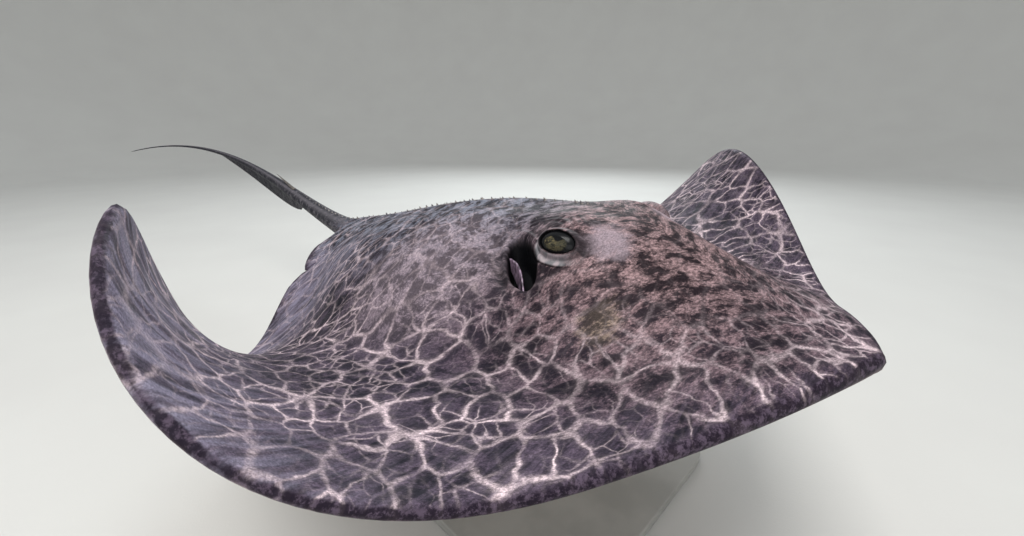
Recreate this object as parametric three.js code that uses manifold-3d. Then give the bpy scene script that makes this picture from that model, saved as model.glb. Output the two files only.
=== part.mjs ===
// Southern stingray, life size, as a still display model on a flat base with two rods.
// Millimetres, +Z up. The ray faces -Y and its left side is +X.
// The origin is the centre of the base's underside.
import * as THREE from "three";
import { LoftGeometry } from "three/addons/geometries/LoftGeometry.js";
import { mergeVertices } from "three/addons/utils/BufferGeometryUtils.js";
import Module from "manifold-3d";

const wasm = await Module();
wasm.setup();

// Disc, laid flat. A station runs back from the snout tip and a lateral runs out from the midline.
const DISC_WIDTH = 1100;
const HALF_WIDTH = DISC_WIDTH / 2;
const TIP_STATION = 425;
const SNOUT_FLARE = { station: 65, lateral: 208 };
const TIP_FRONT_REACH = 144;
const TIP_REAR_REACH = 52;
const PECTORAL_CORNER = { station: 813, lateral: 186 };
const REAR_EDGE_REACH = { station: 10, lateral: 50 };
const CORNER_ROUND = { station: 815, lateral: 164 };
const FIN_NOTCH = { station: 802, lateral: 157 };
const PELVIC_REACH = { station: 815, lateral: 187 };
const PELVIC_INNER_REACH = { station: 968, lateral: 37 };
const DISC_END = 880;
const TAIL_ROOT_HALF_WIDTH = 38;

// How each wing is held: a roll upwards past its hinge line, a sweep of its tip, a wave that
// pulls its rear part down, and a droop of its root.
const WINGS = {
  right: {
    hinge: 245, curl: 1.86, curlGain: 2.515, sweep: 83,
    wave: -123, waveStation: 766, waveLength: 232, droop: -0.06,
  },
  left: {
    hinge: 109, curl: 0.735, curlGain: -5.453, sweep: 75,
    wave: -121, waveStation: 654, waveLength: 157, droop: -0.203,
  },
};
const CURL_STATION = 462;
const DROOP_EASE = 110;
const WAVE_START = 88;
const WAVE_RAMP = 275;
const WAVE_FADE_START = 363;
const WAVE_FADE = 110;

// Thickness of the body over the bent middle surface.
const DOME = {
  height: 98, rise: 275, fallStation: 363, fallLength: 601, fallShare: 0.78,
  halfWidth: 204, swell: 77, swellStation: 165, swellLength: 330,
  narrowShare: 0.6, narrowStation: 550, narrowLength: 330, roundness: 1.8,
};
const BELLY = {
  depth: 26, rise: 240, fallStation: 520, fallLength: 360, fallShare: 0.55, halfWidth: 220, roundness: 1.5,
};
const PLATE = { upper: 10, lower: 17 };
const RIM = { front: 7, tip: 4, rear: 2.2, tipShare: 0.47 };
const RIM_ROUNDING = 1.7;
const NOSE_ROUNDING = 16;
const EDGE_FADE_POWER = 6;
const CLOSING = { start: 0.94, length: 0.06 };
const ORBIT = { station: 268, lateral: 70, height: 12, radius: 44 };

// Eyes and the breathing holes behind them.
const EYE = {
  station: 264, lateral: 87, sink: 6, long: 25, high: 17.5, deep: 17,
  faceOut: 0.85, faceFront: 0.15, faceUp: 0.6,
};
const SPIRACLE = { station: 302, lateral: 109, sink: 3, long: 41, wide: 17, deep: 32, turn: 0.92 };

// Tail: lengths run along it from the end of the disc.
const TAIL = {
  length: 1485, root: 27, tip: 1.6, taper: 1.5, flareLength: 60, flatness: 0.86, step: 5,
  turn: [-0.087, 0.005, 0.672], rise: [0.026, 1.006, -1.177], settle: 0.08,
};
const TAIL_CUTS = [0, 365, 950, 1485];
const TAIL_NODES = ["tail_base", "tail_middle", "tail_whip"];
const TAIL_RINGS = [8, 14, 9];
const FOLD = { start: 372, end: 945, height: 39, skew: 0.62, fullness: 0.75, edge: 22 };
const STING = {
  root: 430, length: 132, halfWidth: 4.6, halfHeight: 2.1, lift: 0.085,
  taper: 1.6, point: 0.06, rings: 8, sides: 8,
};

// Thorns down the midline of the back and the tail's root.
const THORN = { radius: 3.5, height: 4.5, sink: 3, lean: 0.6, sides: 5 };
const BACK_THORNS = { first: 292, last: 858, count: 21 };
const TAIL_THORNS = { first: 18, last: 340, count: 10, shrink: 0.45 };

// Where the body is parted, and the gap that parting leaves.
const GAP = 0.3;
const HEAD_END = 372;
const PELVIC_START = 806;
const BAND_FRONT = { station: 60, half: 182 };
const BAND_REAR = { station: 880, half: 154 };
const SIDE_REACH = 900;
const REAR_REACH = 200;
const CUT_HEIGHT = 1200;

// How the ray is held over its base.
const BANK_HEADING = 0.7819;
const BANK_ANGLE = 0.0676;
const LIFT = 285;
const BASE = { length: 660, width: 400, thickness: 14, corner: 70, bevel: 2.5 };
const BASE_STATION = 500;
const ROD = {
  radius: 12, foot: 40, footHeight: 9, footEdge: 2, footSlope: 3, collar: 8,
  saddle: 27, saddleHeight: 34, neck: 26, neckFlare: 4, sides: 24,
};
const ROD_STATIONS = { stand_rod_front: 345, stand_rod_rear: 655 };

// Mesh density.
const DISC_RIBS = 40;
const RIB_BIAS = 1.15;
const SPINE_BIAS = 1.15;
const DISC_SIDES = 44;
const TAIL_SIDES = 16;
const NORMAL_STEP = 0.5;

const COLOURS = {
  skin: 0x4a4450, tail: 0x33323a, eye: 0x2a2412, sting: 0xb9ab93, stand: 0xb4b2a8,
};

const { clamp, lerp } = THREE.MathUtils;

/** Eases from 0 to 1 as x goes from 0 to 1. */
function ease(x) {
  return THREE.MathUtils.smoothstep(x, 0, 1);
}

// ---------- the bent middle surface ----------

/** Lateral, height and forward sweep of a flat point on one wing. */
function bendWing(station, reach, wing) {
  const span = HALF_WIDTH - wing.hinge;
  const past = Math.max(reach - wing.hinge, 0);
  const fullRoll = wing.curl + (wing.curlGain * (station - CURL_STATION)) / DISC_WIDTH;
  const radius = span / (Math.abs(fullRoll) < 1e-4 ? 1e-4 : fullRoll);
  const roll = past / radius;
  const waveAlong = Math.exp(-(((station - wing.waveStation) / wing.waveLength) ** 2));
  const waveOut = Math.exp(-((Math.max(reach - WAVE_FADE_START, 0) / WAVE_FADE) ** 2));
  const wave = wing.wave * waveAlong * waveOut * ease((reach - WAVE_START) / WAVE_RAMP);
  const droop = (wing.droop * reach * reach) / (reach + DROOP_EASE);
  return {
    lateral: Math.min(reach, wing.hinge) + radius * Math.sin(roll),
    height: radius * (1 - Math.cos(roll)) + wave + droop,
    sweep: wing.sweep * (past / span) ** 2,
  };
}

/** Point of the middle surface. A positive lateral is the ray's left. */
function middlePoint(station, lateral) {
  const wing = lateral < 0 ? WINGS.right : WINGS.left;
  const bent = bendWing(station, Math.abs(lateral), wing);
  return new THREE.Vector3(Math.sign(lateral) * bent.lateral, station - bent.sweep, bent.height);
}

/** Upward unit normal of the middle surface. */
function middleNormal(station, lateral) {
  const ahead = middlePoint(station - NORMAL_STEP, lateral);
  const along = middlePoint(station + NORMAL_STEP, lateral).sub(ahead);
  const rightwards = middlePoint(station, lateral - NORMAL_STEP);
  const across = middlePoint(station, lateral + NORMAL_STEP).sub(rightwards);
  return across.cross(along).normalize();
}

// ---------- thickness ----------

/** Height of the back's dome, with the raised orbits. */
function domeHeight(station, reach) {
  const rise = ease(station / DOME.rise);
  const fall = 1 - DOME.fallShare * ease((station - DOME.fallStation) / DOME.fallLength);
  const swell = DOME.swell * ease((station - DOME.swellStation) / DOME.swellLength);
  const narrow = 1 - DOME.narrowShare * ease((station - DOME.narrowStation) / DOME.narrowLength);
  const halfWidth = (DOME.halfWidth + swell) * narrow;
  const section = Math.max(1 - (reach / halfWidth) ** 2, 0) ** DOME.roundness;
  const fromOrbit = Math.hypot(station - ORBIT.station, reach - ORBIT.lateral) / ORBIT.radius;
  return DOME.height * rise * fall * section + ORBIT.height * Math.exp(-(fromOrbit ** 2));
}

/** Depth of the belly's bulge. */
function bellyDepth(station, reach) {
  const fall = 1 - BELLY.fallShare * ease((station - BELLY.fallStation) / BELLY.fallLength);
  const section = Math.max(1 - (reach / BELLY.halfWidth) ** 2, 0) ** BELLY.roundness;
  return BELLY.depth * ease(station / BELLY.rise) * fall * section;
}

/** Quarter-round profile that closes an edge over a given radius. */
function edgeRound(distance, radius) {
  const inward = clamp(distance / radius, 0, 1);
  return Math.sqrt(1 - (1 - inward) ** 2);
}

/** Half thickness of the margin, by its share of the way round from snout to tail. */
function rimThickness(share) {
  if (share < RIM.tipShare) {
    return lerp(RIM.front, RIM.tip, ease(share / RIM.tipShare));
  }
  return lerp(RIM.tip, RIM.rear, ease((share - RIM.tipShare) / (1 - RIM.tipShare)));
}

/** Heights of the upper and lower skin over the middle surface at one place of a rib. */
function skinHeights(station, reach, out, rib) {
  const edge = edgeRound((1 - out) * rib.length, rib.rounding) * rib.nose;
  const fade = 1 - out ** EDGE_FADE_POWER;
  const upperPlate = lerp(PLATE.upper, rib.rim, out * out);
  const lowerPlate = lerp(PLATE.lower, rib.rim, out);
  return {
    upper: (domeHeight(station, reach) * fade + upperPlate) * edge,
    lower: (bellyDepth(station, reach) * fade + lowerPlate) * edge,
  };
}

/** A loft whose two ends close on a point: the given one, or the middle of the end's section. */
function closedLoft(sections, startPoint = null) {
  const middle = (section) => {
    const sum = section.reduce((total, point) => total.add(point), new THREE.Vector3());
    return sum.divideScalar(section.length);
  };
  const first = sections[0].map(() => startPoint ?? middle(sections[0]));
  const last = sections.at(-1).map(() => middle(sections.at(-1)));
  return new LoftGeometry([first, ...sections, last]);
}

// ---------- disc ----------

/** Half outline of the flat disc, from the snout tip round to the root of the tail. */
function discOutline() {
  const corner = PECTORAL_CORNER;
  const outline = new THREE.Path();
  outline.moveTo(0, 0);
  outline.bezierCurveTo(
    SNOUT_FLARE.station, SNOUT_FLARE.lateral,
    TIP_STATION - TIP_FRONT_REACH, HALF_WIDTH,
    TIP_STATION, HALF_WIDTH,
  );
  outline.bezierCurveTo(
    TIP_STATION + TIP_REAR_REACH, HALF_WIDTH,
    corner.station - REAR_EDGE_REACH.station, corner.lateral + REAR_EDGE_REACH.lateral,
    corner.station, corner.lateral,
  );
  outline.quadraticCurveTo(
    CORNER_ROUND.station, CORNER_ROUND.lateral,
    FIN_NOTCH.station, FIN_NOTCH.lateral,
  );
  outline.bezierCurveTo(
    PELVIC_REACH.station, PELVIC_REACH.lateral,
    PELVIC_INNER_REACH.station, PELVIC_INNER_REACH.lateral,
    DISC_END, TAIL_ROOT_HALF_WIDTH,
  );
  return outline;
}

/** One rib of the disc: from the spine out to the margin, with its edge's finish. */
function discRib(outline, share) {
  const margin = outline.getPoint(share);
  const spine = DISC_END * share ** SPINE_BIAS;
  const length = Math.hypot(margin.x - spine, margin.y);
  const rim = rimThickness(share);
  const closing = ease((share - CLOSING.start) / CLOSING.length);
  return {
    spine,
    margin,
    length,
    rim,
    rounding: lerp(Math.min(rim * RIM_ROUNDING, length), length, closing),
    nose: edgeRound(spine, NOSE_ROUNDING),
  };
}

/** Closed section over one rib and its twin: right margin, back, left margin, belly. */
function discSection(rib) {
  const points = [];
  for (let i = 0; i < DISC_SIDES; i += 1) {
    const angle = (2 * Math.PI * i) / DISC_SIDES;
    const out = Math.abs(Math.cos(angle));
    const side = Math.cos(angle) > 0 ? -1 : 1;
    const station = lerp(rib.spine, rib.margin.x, out);
    const reach = rib.margin.y * out;
    const heights = skinHeights(station, reach, out, rib);
    const offset = Math.sin(angle) >= 0 ? heights.upper : -heights.lower;
    const normal = middleNormal(station, side * reach);
    points.push(middlePoint(station, side * reach).addScaledVector(normal, offset));
  }
  return points;
}

/** The whole disc as one loft from the snout to the root of the tail. */
function discGeometry() {
  const outline = discOutline();
  const sections = [];
  for (let i = 1; i <= DISC_RIBS; i += 1) {
    sections.push(discSection(discRib(outline, (i / DISC_RIBS) ** RIB_BIAS)));
  }
  return closedLoft(sections, middlePoint(0, 0));
}

/** Point and normal of the back's upper skin, where no rim is near. */
function backPoint(station, lateral) {
  const normal = middleNormal(station, lateral);
  const height = domeHeight(station, Math.abs(lateral)) + PLATE.upper;
  const point = middlePoint(station, lateral).addScaledVector(normal, height);
  return { point, normal };
}

// ---------- tail ----------

/** Direction of the tail at a length along it. */
function tailDirection(length) {
  const t = length / TAIL.length;
  const settled = ease(t / TAIL.settle);
  const [turn, rise] = [TAIL.turn, TAIL.rise].map(([a, b, c]) => settled * (a + b * t + c * t * t));
  const flat = Math.cos(rise);
  return new THREE.Vector3(-Math.sin(turn) * flat, Math.cos(turn) * flat, Math.sin(rise));
}

/** Centre, side and up vectors of the tail at a length along it. */
function tailFrame(length) {
  const centre = new THREE.Vector3(0, DISC_END, middlePoint(DISC_END, 0).z);
  const steps = Math.max(1, Math.round(length / TAIL.step));
  for (let i = 0; i < steps; i += 1) {
    centre.addScaledVector(tailDirection(((i + 0.5) * length) / steps), length / steps);
  }
  const forward = tailDirection(length);
  const up = new THREE.Vector3(0, 0, 1).addScaledVector(forward, -forward.z).normalize();
  const side = up.clone().cross(forward);
  return { centre, forward, up, side };
}

/** Half width, height and depth of the tail at a length along it. */
function tailSize(length) {
  const stem = lerp(TAIL.tip, TAIL.root, (1 - length / TAIL.length) ** TAIL.taper);
  const flare = Math.exp(-length / TAIL.flareLength);
  const rootUp = domeHeight(DISC_END, 0) + PLATE.upper;
  const rootDown = bellyDepth(DISC_END, 0) + PLATE.lower;
  const flat = stem * TAIL.flatness;
  return {
    half: stem + (TAIL_ROOT_HALF_WIDTH - TAIL.root) * flare,
    up: flat + (rootUp - TAIL.root * TAIL.flatness) * flare,
    down: flat + (rootDown - TAIL.root * TAIL.flatness) * flare,
  };
}

/** Depth of the skin fold under the tail at a length along it. */
function foldDepth(length) {
  const share = clamp((length - FOLD.start) / (FOLD.end - FOLD.start), 0, 1);
  return FOLD.height * Math.max(Math.sin(Math.PI * share ** FOLD.skew), 0) ** FOLD.fullness;
}

/** Closed section of the tail, with the fold as a thin keel underneath. */
function tailSection(length) {
  const frame = tailFrame(length);
  const size = tailSize(length);
  const points = [];
  for (let i = 0; i < TAIL_SIDES; i += 1) {
    const angle = (2 * Math.PI * i) / TAIL_SIDES;
    const high = Math.sin(angle);
    const keel = high < 0 ? foldDepth(length) * (-high) ** FOLD.edge : 0;
    const rise = high * (high > 0 ? size.up : size.down) - keel;
    const point = frame.centre.clone();
    point.addScaledVector(frame.side, Math.cos(angle) * size.half);
    point.addScaledVector(frame.up, rise);
    points.push(point);
  }
  return points;
}

/** One length of the tail as a closed loft. */
function tailGeometry(index) {
  const start = TAIL_CUTS[index] + GAP;
  const end = TAIL_CUTS[index + 1];
  const sections = [];
  for (let i = 0; i <= TAIL_RINGS[index]; i += 1) {
    sections.push(tailSection(lerp(start, end, i / TAIL_RINGS[index])));
  }
  return closedLoft(sections);
}

/** The sting: a flat, pointed blade that lies back along the top of the tail. */
function stingGeometry() {
  const frame = tailFrame(STING.root);
  const size = tailSize(STING.root);
  const along = frame.forward.clone().addScaledVector(frame.up, STING.lift).normalize();
  const sections = [];
  for (let i = 0; i <= STING.rings; i += 1) {
    const share = i / STING.rings;
    const width = lerp(1, STING.point, share ** STING.taper);
    const centre = frame.centre.clone().addScaledVector(frame.up, size.up);
    centre.addScaledVector(along, share * STING.length);
    const points = [];
    for (let j = 0; j < STING.sides; j += 1) {
      const angle = (2 * Math.PI * j) / STING.sides;
      const point = centre.clone();
      point.addScaledVector(frame.side, Math.cos(angle) * STING.halfWidth * width);
      point.addScaledVector(frame.up, Math.sin(angle) * STING.halfHeight * width);
      points.push(point);
    }
    sections.push(points);
  }
  return closedLoft(sections);
}

// ---------- solids ----------

/** A closed three.js geometry as a solid that can be cut and joined. */
function toSolid(geometry) {
  const bare = new THREE.BufferGeometry().copy(geometry);
  bare.deleteAttribute("normal");
  bare.deleteAttribute("uv");
  const merged = mergeVertices(bare, 1e-4);
  const index = merged.index.array;
  const kept = [];
  for (let i = 0; i < index.length; i += 3) {
    const [a, b, c] = [index[i], index[i + 1], index[i + 2]];
    if (a !== b && b !== c && c !== a) {
      kept.push(a, b, c);
    }
  }
  const mesh = new wasm.Mesh({
    numProp: 3,
    vertProperties: new Float32Array(merged.attributes.position.array),
    triVerts: new Uint32Array(kept),
  });
  return new wasm.Manifold(mesh);
}

/** A solid back as a three.js geometry. */
function toGeometry(solid) {
  const mesh = solid.getMesh();
  const geometry = new THREE.BufferGeometry();
  geometry.setAttribute("position", new THREE.BufferAttribute(new Float32Array(mesh.vertProperties), 3));
  geometry.setIndex(new THREE.BufferAttribute(new Uint32Array(mesh.triVerts), 1));
  geometry.computeVertexNormals();
  return geometry;
}

/** A geometry placed with its local z along a direction. */
function placeAlong(geometry, position, direction, twist = 0) {
  const turn = new THREE.Quaternion().setFromUnitVectors(new THREE.Vector3(0, 0, 1), direction);
  turn.multiply(new THREE.Quaternion().setFromAxisAngle(new THREE.Vector3(0, 0, 1), twist));
  const matrix = new THREE.Matrix4().compose(position, turn, new THREE.Vector3(1, 1, 1));
  return geometry.applyMatrix4(matrix);
}

/** One thorn that stands on the skin and leans back. */
function thornSolid(point, normal, back, scale) {
  const cone = new THREE.ConeGeometry(THORN.radius * scale, THORN.height * scale + THORN.sink, THORN.sides);
  cone.rotateX(Math.PI / 2);
  const direction = normal.clone().addScaledVector(back, THORN.lean).normalize();
  const middle = (THORN.height * scale - THORN.sink) / 2;
  return toSolid(placeAlong(cone, point.clone().addScaledVector(direction, middle), direction));
}

/** The row of thorns down the midline of the back. */
function backThorns() {
  const solids = [];
  for (let i = 0; i < BACK_THORNS.count; i += 1) {
    const share = i / (BACK_THORNS.count - 1);
    const { point, normal } = backPoint(lerp(BACK_THORNS.first, BACK_THORNS.last, share), 0);
    solids.push(thornSolid(point, normal, new THREE.Vector3(0, 1, 0), 1));
  }
  return solids;
}

/** The thorns that carry on down the root of the tail. */
function tailThorns() {
  const solids = [];
  for (let i = 0; i < TAIL_THORNS.count; i += 1) {
    const share = i / (TAIL_THORNS.count - 1);
    const length = lerp(TAIL_THORNS.first, TAIL_THORNS.last, share);
    const frame = tailFrame(length);
    const point = frame.centre.clone().addScaledVector(frame.up, tailSize(length).up);
    solids.push(thornSolid(point, frame.up, frame.forward, 1 - TAIL_THORNS.shrink * share));
  }
  return solids;
}

/** Directions of an eye: where it looks, and its long axis. */
function eyeDirection(side) {
  return new THREE.Vector3(side * EYE.faceOut, -EYE.faceFront, EYE.faceUp).normalize();
}

/** One eyeball, grown by a margin for its socket. */
function eyeGeometry(side, margin) {
  const ball = new THREE.SphereGeometry(1, 14, 9);
  ball.scale(EYE.high + margin, EYE.long + margin, EYE.deep + margin);
  const { point, normal } = backPoint(EYE.station, side * EYE.lateral);
  const direction = eyeDirection(side);
  const position = point.addScaledVector(normal, -EYE.sink);
  const upright = new THREE.Vector3(0, 1, 0).cross(direction).normalize();
  const along = direction.clone().cross(upright);
  const basis = new THREE.Matrix4().makeBasis(upright, along, direction).setPosition(position);
  return ball.applyMatrix4(basis);
}

/** The hollow of one breathing hole. */
function spiracleGeometry(side) {
  const ball = new THREE.SphereGeometry(1, 12, 8);
  ball.scale(SPIRACLE.long, SPIRACLE.wide, SPIRACLE.deep);
  ball.rotateZ(-SPIRACLE.turn);
  ball.scale(side, 1, 1);
  if (side < 0) {
    ball.index.array.reverse();
  }
  const { point, normal } = backPoint(SPIRACLE.station, side * SPIRACLE.lateral);
  return placeAlong(ball, point.addScaledVector(normal, -SPIRACLE.sink), normal);
}

/** The disc with its thorns, its eye sockets and its breathing holes. */
function discSolid() {
  let solid = toSolid(discGeometry());
  for (const thorn of backThorns()) {
    solid = solid.add(thorn);
  }
  for (const side of [-1, 1]) {
    solid = solid.subtract(toSolid(eyeGeometry(side, GAP)));
    solid = solid.subtract(toSolid(spiracleGeometry(side)));
  }
  return solid;
}

// ---------- parting the disc ----------

/** Half width at a station of the middle band that carries head and trunk. */
function bandHalf(station) {
  const share = (station - BAND_FRONT.station) / (BAND_REAR.station - BAND_FRONT.station);
  return lerp(BAND_FRONT.half, BAND_REAR.half, share);
}

/** A tall upright prism over a plan outline. */
function prism(points) {
  const shape = new THREE.Shape(points.map(([x, y]) => new THREE.Vector2(x, y)));
  const geometry = new THREE.ExtrudeGeometry(shape, { depth: CUT_HEIGHT, bevelEnabled: false });
  return toSolid(geometry.translate(0, 0, -CUT_HEIGHT / 2));
}

/** Plan outlines of the disc's nodes, each half a gap inside its cuts. */
function discRegions() {
  const half = GAP / 2;
  const front = -SIDE_REACH;
  const rear = DISC_END + REAR_REACH;
  const band = (station) => bandHalf(station) - half;
  const beside = (station) => bandHalf(station) + half;
  const neck = TAIL_ROOT_HALF_WIDTH;
  const regions = {
    head: [
      [-band(front), front], [band(front), front],
      [band(HEAD_END), HEAD_END - half], [-band(HEAD_END), HEAD_END - half],
    ],
    trunk: [
      [-band(HEAD_END), HEAD_END + half], [band(HEAD_END), HEAD_END + half],
      [band(PELVIC_START), PELVIC_START - half], [neck - half, PELVIC_START - half],
      [neck - half, DISC_END], [-neck + half, DISC_END],
      [-neck + half, PELVIC_START - half], [-band(PELVIC_START), PELVIC_START - half],
    ],
  };
  for (const [word, side] of [["left", 1], ["right", -1]]) {
    const wing = [
      [side * beside(front), front], [side * SIDE_REACH, front],
      [side * SIDE_REACH, rear], [side * beside(rear), rear],
    ];
    const fin = [
      [side * (neck + half), PELVIC_START + half], [side * band(PELVIC_START), PELVIC_START + half],
      [side * band(rear), rear], [side * (neck + half), rear],
    ];
    regions[`wing_${word}`] = wing;
    regions[`pelvic_fin_${word}`] = fin;
  }
  return regions;
}

// ---------- stand ----------

/** The flat base: a plate with round corners and softened edges. */
function baseGeometry() {
  const x = BASE.width / 2 - BASE.bevel;
  const y = BASE.length / 2 - BASE.bevel;
  const r = BASE.corner;
  const shape = new THREE.Shape();
  shape.moveTo(x, -y + r);
  shape.lineTo(x, y - r);
  shape.absarc(x - r, y - r, r, 0, Math.PI / 2);
  shape.absarc(-x + r, y - r, r, Math.PI / 2, Math.PI);
  shape.absarc(-x + r, -y + r, r, Math.PI, 1.5 * Math.PI);
  shape.absarc(x - r, -y + r, r, 1.5 * Math.PI, 2 * Math.PI);
  const geometry = new THREE.ExtrudeGeometry(shape, {
    depth: BASE.thickness - 2 * BASE.bevel,
    bevelEnabled: true,
    bevelThickness: BASE.bevel,
    bevelSize: BASE.bevel,
    bevelSegments: 1,
    curveSegments: 6,
  });
  return geometry.translate(0, 0, BASE.bevel);
}

/** Profile of a rod with a round foot, and a saddle that widens under the belly. */
function rodGeometry(top) {
  const foot = BASE.thickness + GAP;
  const rim = foot + ROD.footHeight;
  const saddle = top - ROD.saddleHeight;
  const profile = [
    [0, foot], [ROD.foot - ROD.footEdge, foot],
    [ROD.foot, foot + ROD.footEdge], [ROD.foot, rim - ROD.footEdge],
    [ROD.foot - ROD.footSlope, rim], [ROD.radius + ROD.footSlope, rim + ROD.footSlope],
    [ROD.radius, rim + ROD.collar], [ROD.radius, saddle - ROD.neck],
    [ROD.radius + ROD.neckFlare, saddle - ROD.neck / 3],
    [ROD.saddle, saddle], [ROD.saddle, top], [0, top],
  ];
  const geometry = new THREE.LatheGeometry(profile.map(([x, y]) => new THREE.Vector2(x, y)), ROD.sides);
  return geometry.rotateX(Math.PI / 2);
}

/** Matrix that banks the ray and sets it over the base. */
function poseMatrix() {
  const axis = new THREE.Vector3(Math.sin(BANK_HEADING), Math.cos(BANK_HEADING), 0);
  const matrix = new THREE.Matrix4().makeRotationAxis(axis, -BANK_ANGLE);
  const held = new THREE.Vector3(0, BASE_STATION, 0).applyMatrix4(matrix);
  return matrix.setPosition(-held.x, -held.y, LIFT - held.z);
}

/** One rod, cut to the belly that rests on it. */
function rodSolid(station, disc) {
  const matrix = poseMatrix();
  const spot = new THREE.Vector3(0, station, 0).applyMatrix4(matrix);
  const rod = toSolid(rodGeometry(spot.z).translate(spot.x, spot.y, 0));
  return rod.subtract(disc.transform(matrix.toArray()).translate([0, 0, -GAP]));
}

// ---------- the model ----------

/** A named mesh with a plain finish. */
function makeMesh(name, geometry, colour, roughness = 0.55, metalness = 0) {
  const material = new THREE.MeshStandardMaterial({ color: colour, roughness, metalness });
  const mesh = new THREE.Mesh(geometry, material);
  mesh.name = name;
  return mesh;
}

/** Everything of the ray itself, in its own level frame. */
function rayMeshes(disc) {
  const meshes = [];
  for (const [name, outline] of Object.entries(discRegions())) {
    meshes.push(makeMesh(name, toGeometry(disc.intersect(prism(outline))), COLOURS.skin));
  }
  const tail = TAIL_NODES.map((name, index) => toSolid(tailGeometry(index)));
  for (const thorn of tailThorns()) {
    tail[0] = tail[0].add(thorn);
  }
  TAIL_NODES.forEach((name, index) => meshes.push(makeMesh(name, toGeometry(tail[index]), COLOURS.tail)));
  const sting = toSolid(stingGeometry()).subtract(tail[1].translate([0, 0, GAP]));
  meshes.push(makeMesh("sting", toGeometry(sting), COLOURS.sting));
  meshes.push(makeMesh("eye_right", toGeometry(toSolid(eyeGeometry(-1, 0))), COLOURS.eye, 0.1));
  meshes.push(makeMesh("eye_left", toGeometry(toSolid(eyeGeometry(1, 0))), COLOURS.eye, 0.1));
  return meshes;
}

/** The base and its two rods. */
function standMeshes(disc) {
  const meshes = [makeMesh("stand_base", toGeometry(toSolid(baseGeometry())), COLOURS.stand, 0.4)];
  for (const [name, station] of Object.entries(ROD_STATIONS)) {
    meshes.push(makeMesh(name, toGeometry(rodSolid(station, disc)), COLOURS.stand, 0.4));
  }
  return meshes;
}

/** The finished model. */
function stingray() {
  const disc = discSolid();
  const ray = new THREE.Group();
  ray.add(...rayMeshes(disc));
  ray.applyMatrix4(poseMatrix());
  const model = new THREE.Group();
  model.add(ray, ...standMeshes(disc));
  return model;
}

export default stingray();
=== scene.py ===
"""Life-size display model of a southern stingray: its skin, eyes, thorns, sting and stand.

Metres, +Z up. The ray faces -Y and its left side is +X. A station runs back from the snout
tip and a lateral runs out from the midline, both on the ray as if it lay flat; a positive
lateral is the ray's left.
"""

from __future__ import annotations

import logging
import math
from dataclasses import dataclass, field
from enum import Enum

import bmesh
import bpy
import numpy as np
from mathutils import Matrix, Vector
from mathutils.bvhtree import BVHTree

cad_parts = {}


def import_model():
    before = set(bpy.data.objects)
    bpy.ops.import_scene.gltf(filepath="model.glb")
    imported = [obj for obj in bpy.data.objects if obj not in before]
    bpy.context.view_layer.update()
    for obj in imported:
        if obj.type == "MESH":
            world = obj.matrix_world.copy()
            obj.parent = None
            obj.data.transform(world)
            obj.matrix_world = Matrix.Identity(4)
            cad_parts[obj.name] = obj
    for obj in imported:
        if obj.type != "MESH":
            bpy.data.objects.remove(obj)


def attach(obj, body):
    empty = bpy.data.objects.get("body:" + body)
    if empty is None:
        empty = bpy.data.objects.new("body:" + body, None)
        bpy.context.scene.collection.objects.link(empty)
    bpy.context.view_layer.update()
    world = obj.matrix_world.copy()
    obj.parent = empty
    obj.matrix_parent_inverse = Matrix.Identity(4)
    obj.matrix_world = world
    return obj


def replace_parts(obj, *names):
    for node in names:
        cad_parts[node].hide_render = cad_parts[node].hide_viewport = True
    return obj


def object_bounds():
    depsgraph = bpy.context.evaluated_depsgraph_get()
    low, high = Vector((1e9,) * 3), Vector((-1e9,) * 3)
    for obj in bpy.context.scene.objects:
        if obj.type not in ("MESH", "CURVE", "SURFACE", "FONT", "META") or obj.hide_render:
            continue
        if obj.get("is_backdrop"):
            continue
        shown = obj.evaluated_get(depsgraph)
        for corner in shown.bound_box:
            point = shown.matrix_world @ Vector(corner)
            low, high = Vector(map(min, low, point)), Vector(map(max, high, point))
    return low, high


Array = np.ndarray
Colour = tuple[float, float, float]
Socket = bpy.types.NodeSocket

BODY = "root"
MERGE = 1e-5
LOG = logging.getLogger("stingray")


class Side(Enum):
    """A side of the ray, by the sign of its laterals."""

    RIGHT = -1
    LEFT = 1


# ---------- small maths ----------


def ease(value: Array | float) -> Array:
    """Eases from 0 to 1 as the value goes from 0 to 1."""
    share = np.clip(value, 0.0, 1.0)
    return share * share * (3.0 - 2.0 * share)


def lerp(start: Array | float, end: Array | float, share: Array | float) -> Array:
    """Goes in a straight line from start to end."""
    return start + (end - start) * share


def bell(distance: Array | float, width: float) -> Array:
    """A bell curve of height 1 that falls to 0.37 at the given width."""
    return np.exp(-((distance / width) ** 2))


def edge_round(distance: Array, radius: Array | float) -> Array:
    """Quarter-round profile that closes an edge over a given radius."""
    inward = np.clip(distance / radius, 0.0, 1.0)
    return np.sqrt(1.0 - (1.0 - inward) ** 2)


def unit(vectors: Array) -> Array:
    """The vectors at length 1."""
    return vectors / np.linalg.norm(vectors, axis=-1, keepdims=True)


def soft_max(first: Array, second: Array, blend: float) -> Array:
    """The larger of two heights, rounded over where they cross."""
    share = np.clip(0.5 + 0.5 * (first - second) / blend, 0.0, 1.0)
    return lerp(second, first, share) + blend * share * (1.0 - share)


@dataclass(frozen=True)
class Span:
    """A stretch that eases in past its start and out before its end."""

    start: float
    rise: float
    end: float
    fall: float

    def at(self, value: Array) -> Array:
        """How far inside the stretch a value is, from 0 to 1."""
        return ease((value - self.start) / self.rise) * ease((self.end - value) / self.fall)


@dataclass(frozen=True)
class Dent:
    """A round rise or hollow in the skin, stretched along the ray."""

    height: float
    station: float
    reach: float
    radius: float
    stretch: float = 1.0

    def at(self, station: Array, reach: Array) -> Array:
        """Its height at flat places."""
        away = np.hypot((station - self.station) / self.stretch, reach - self.reach)
        return self.height * bell(away, self.radius)


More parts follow.
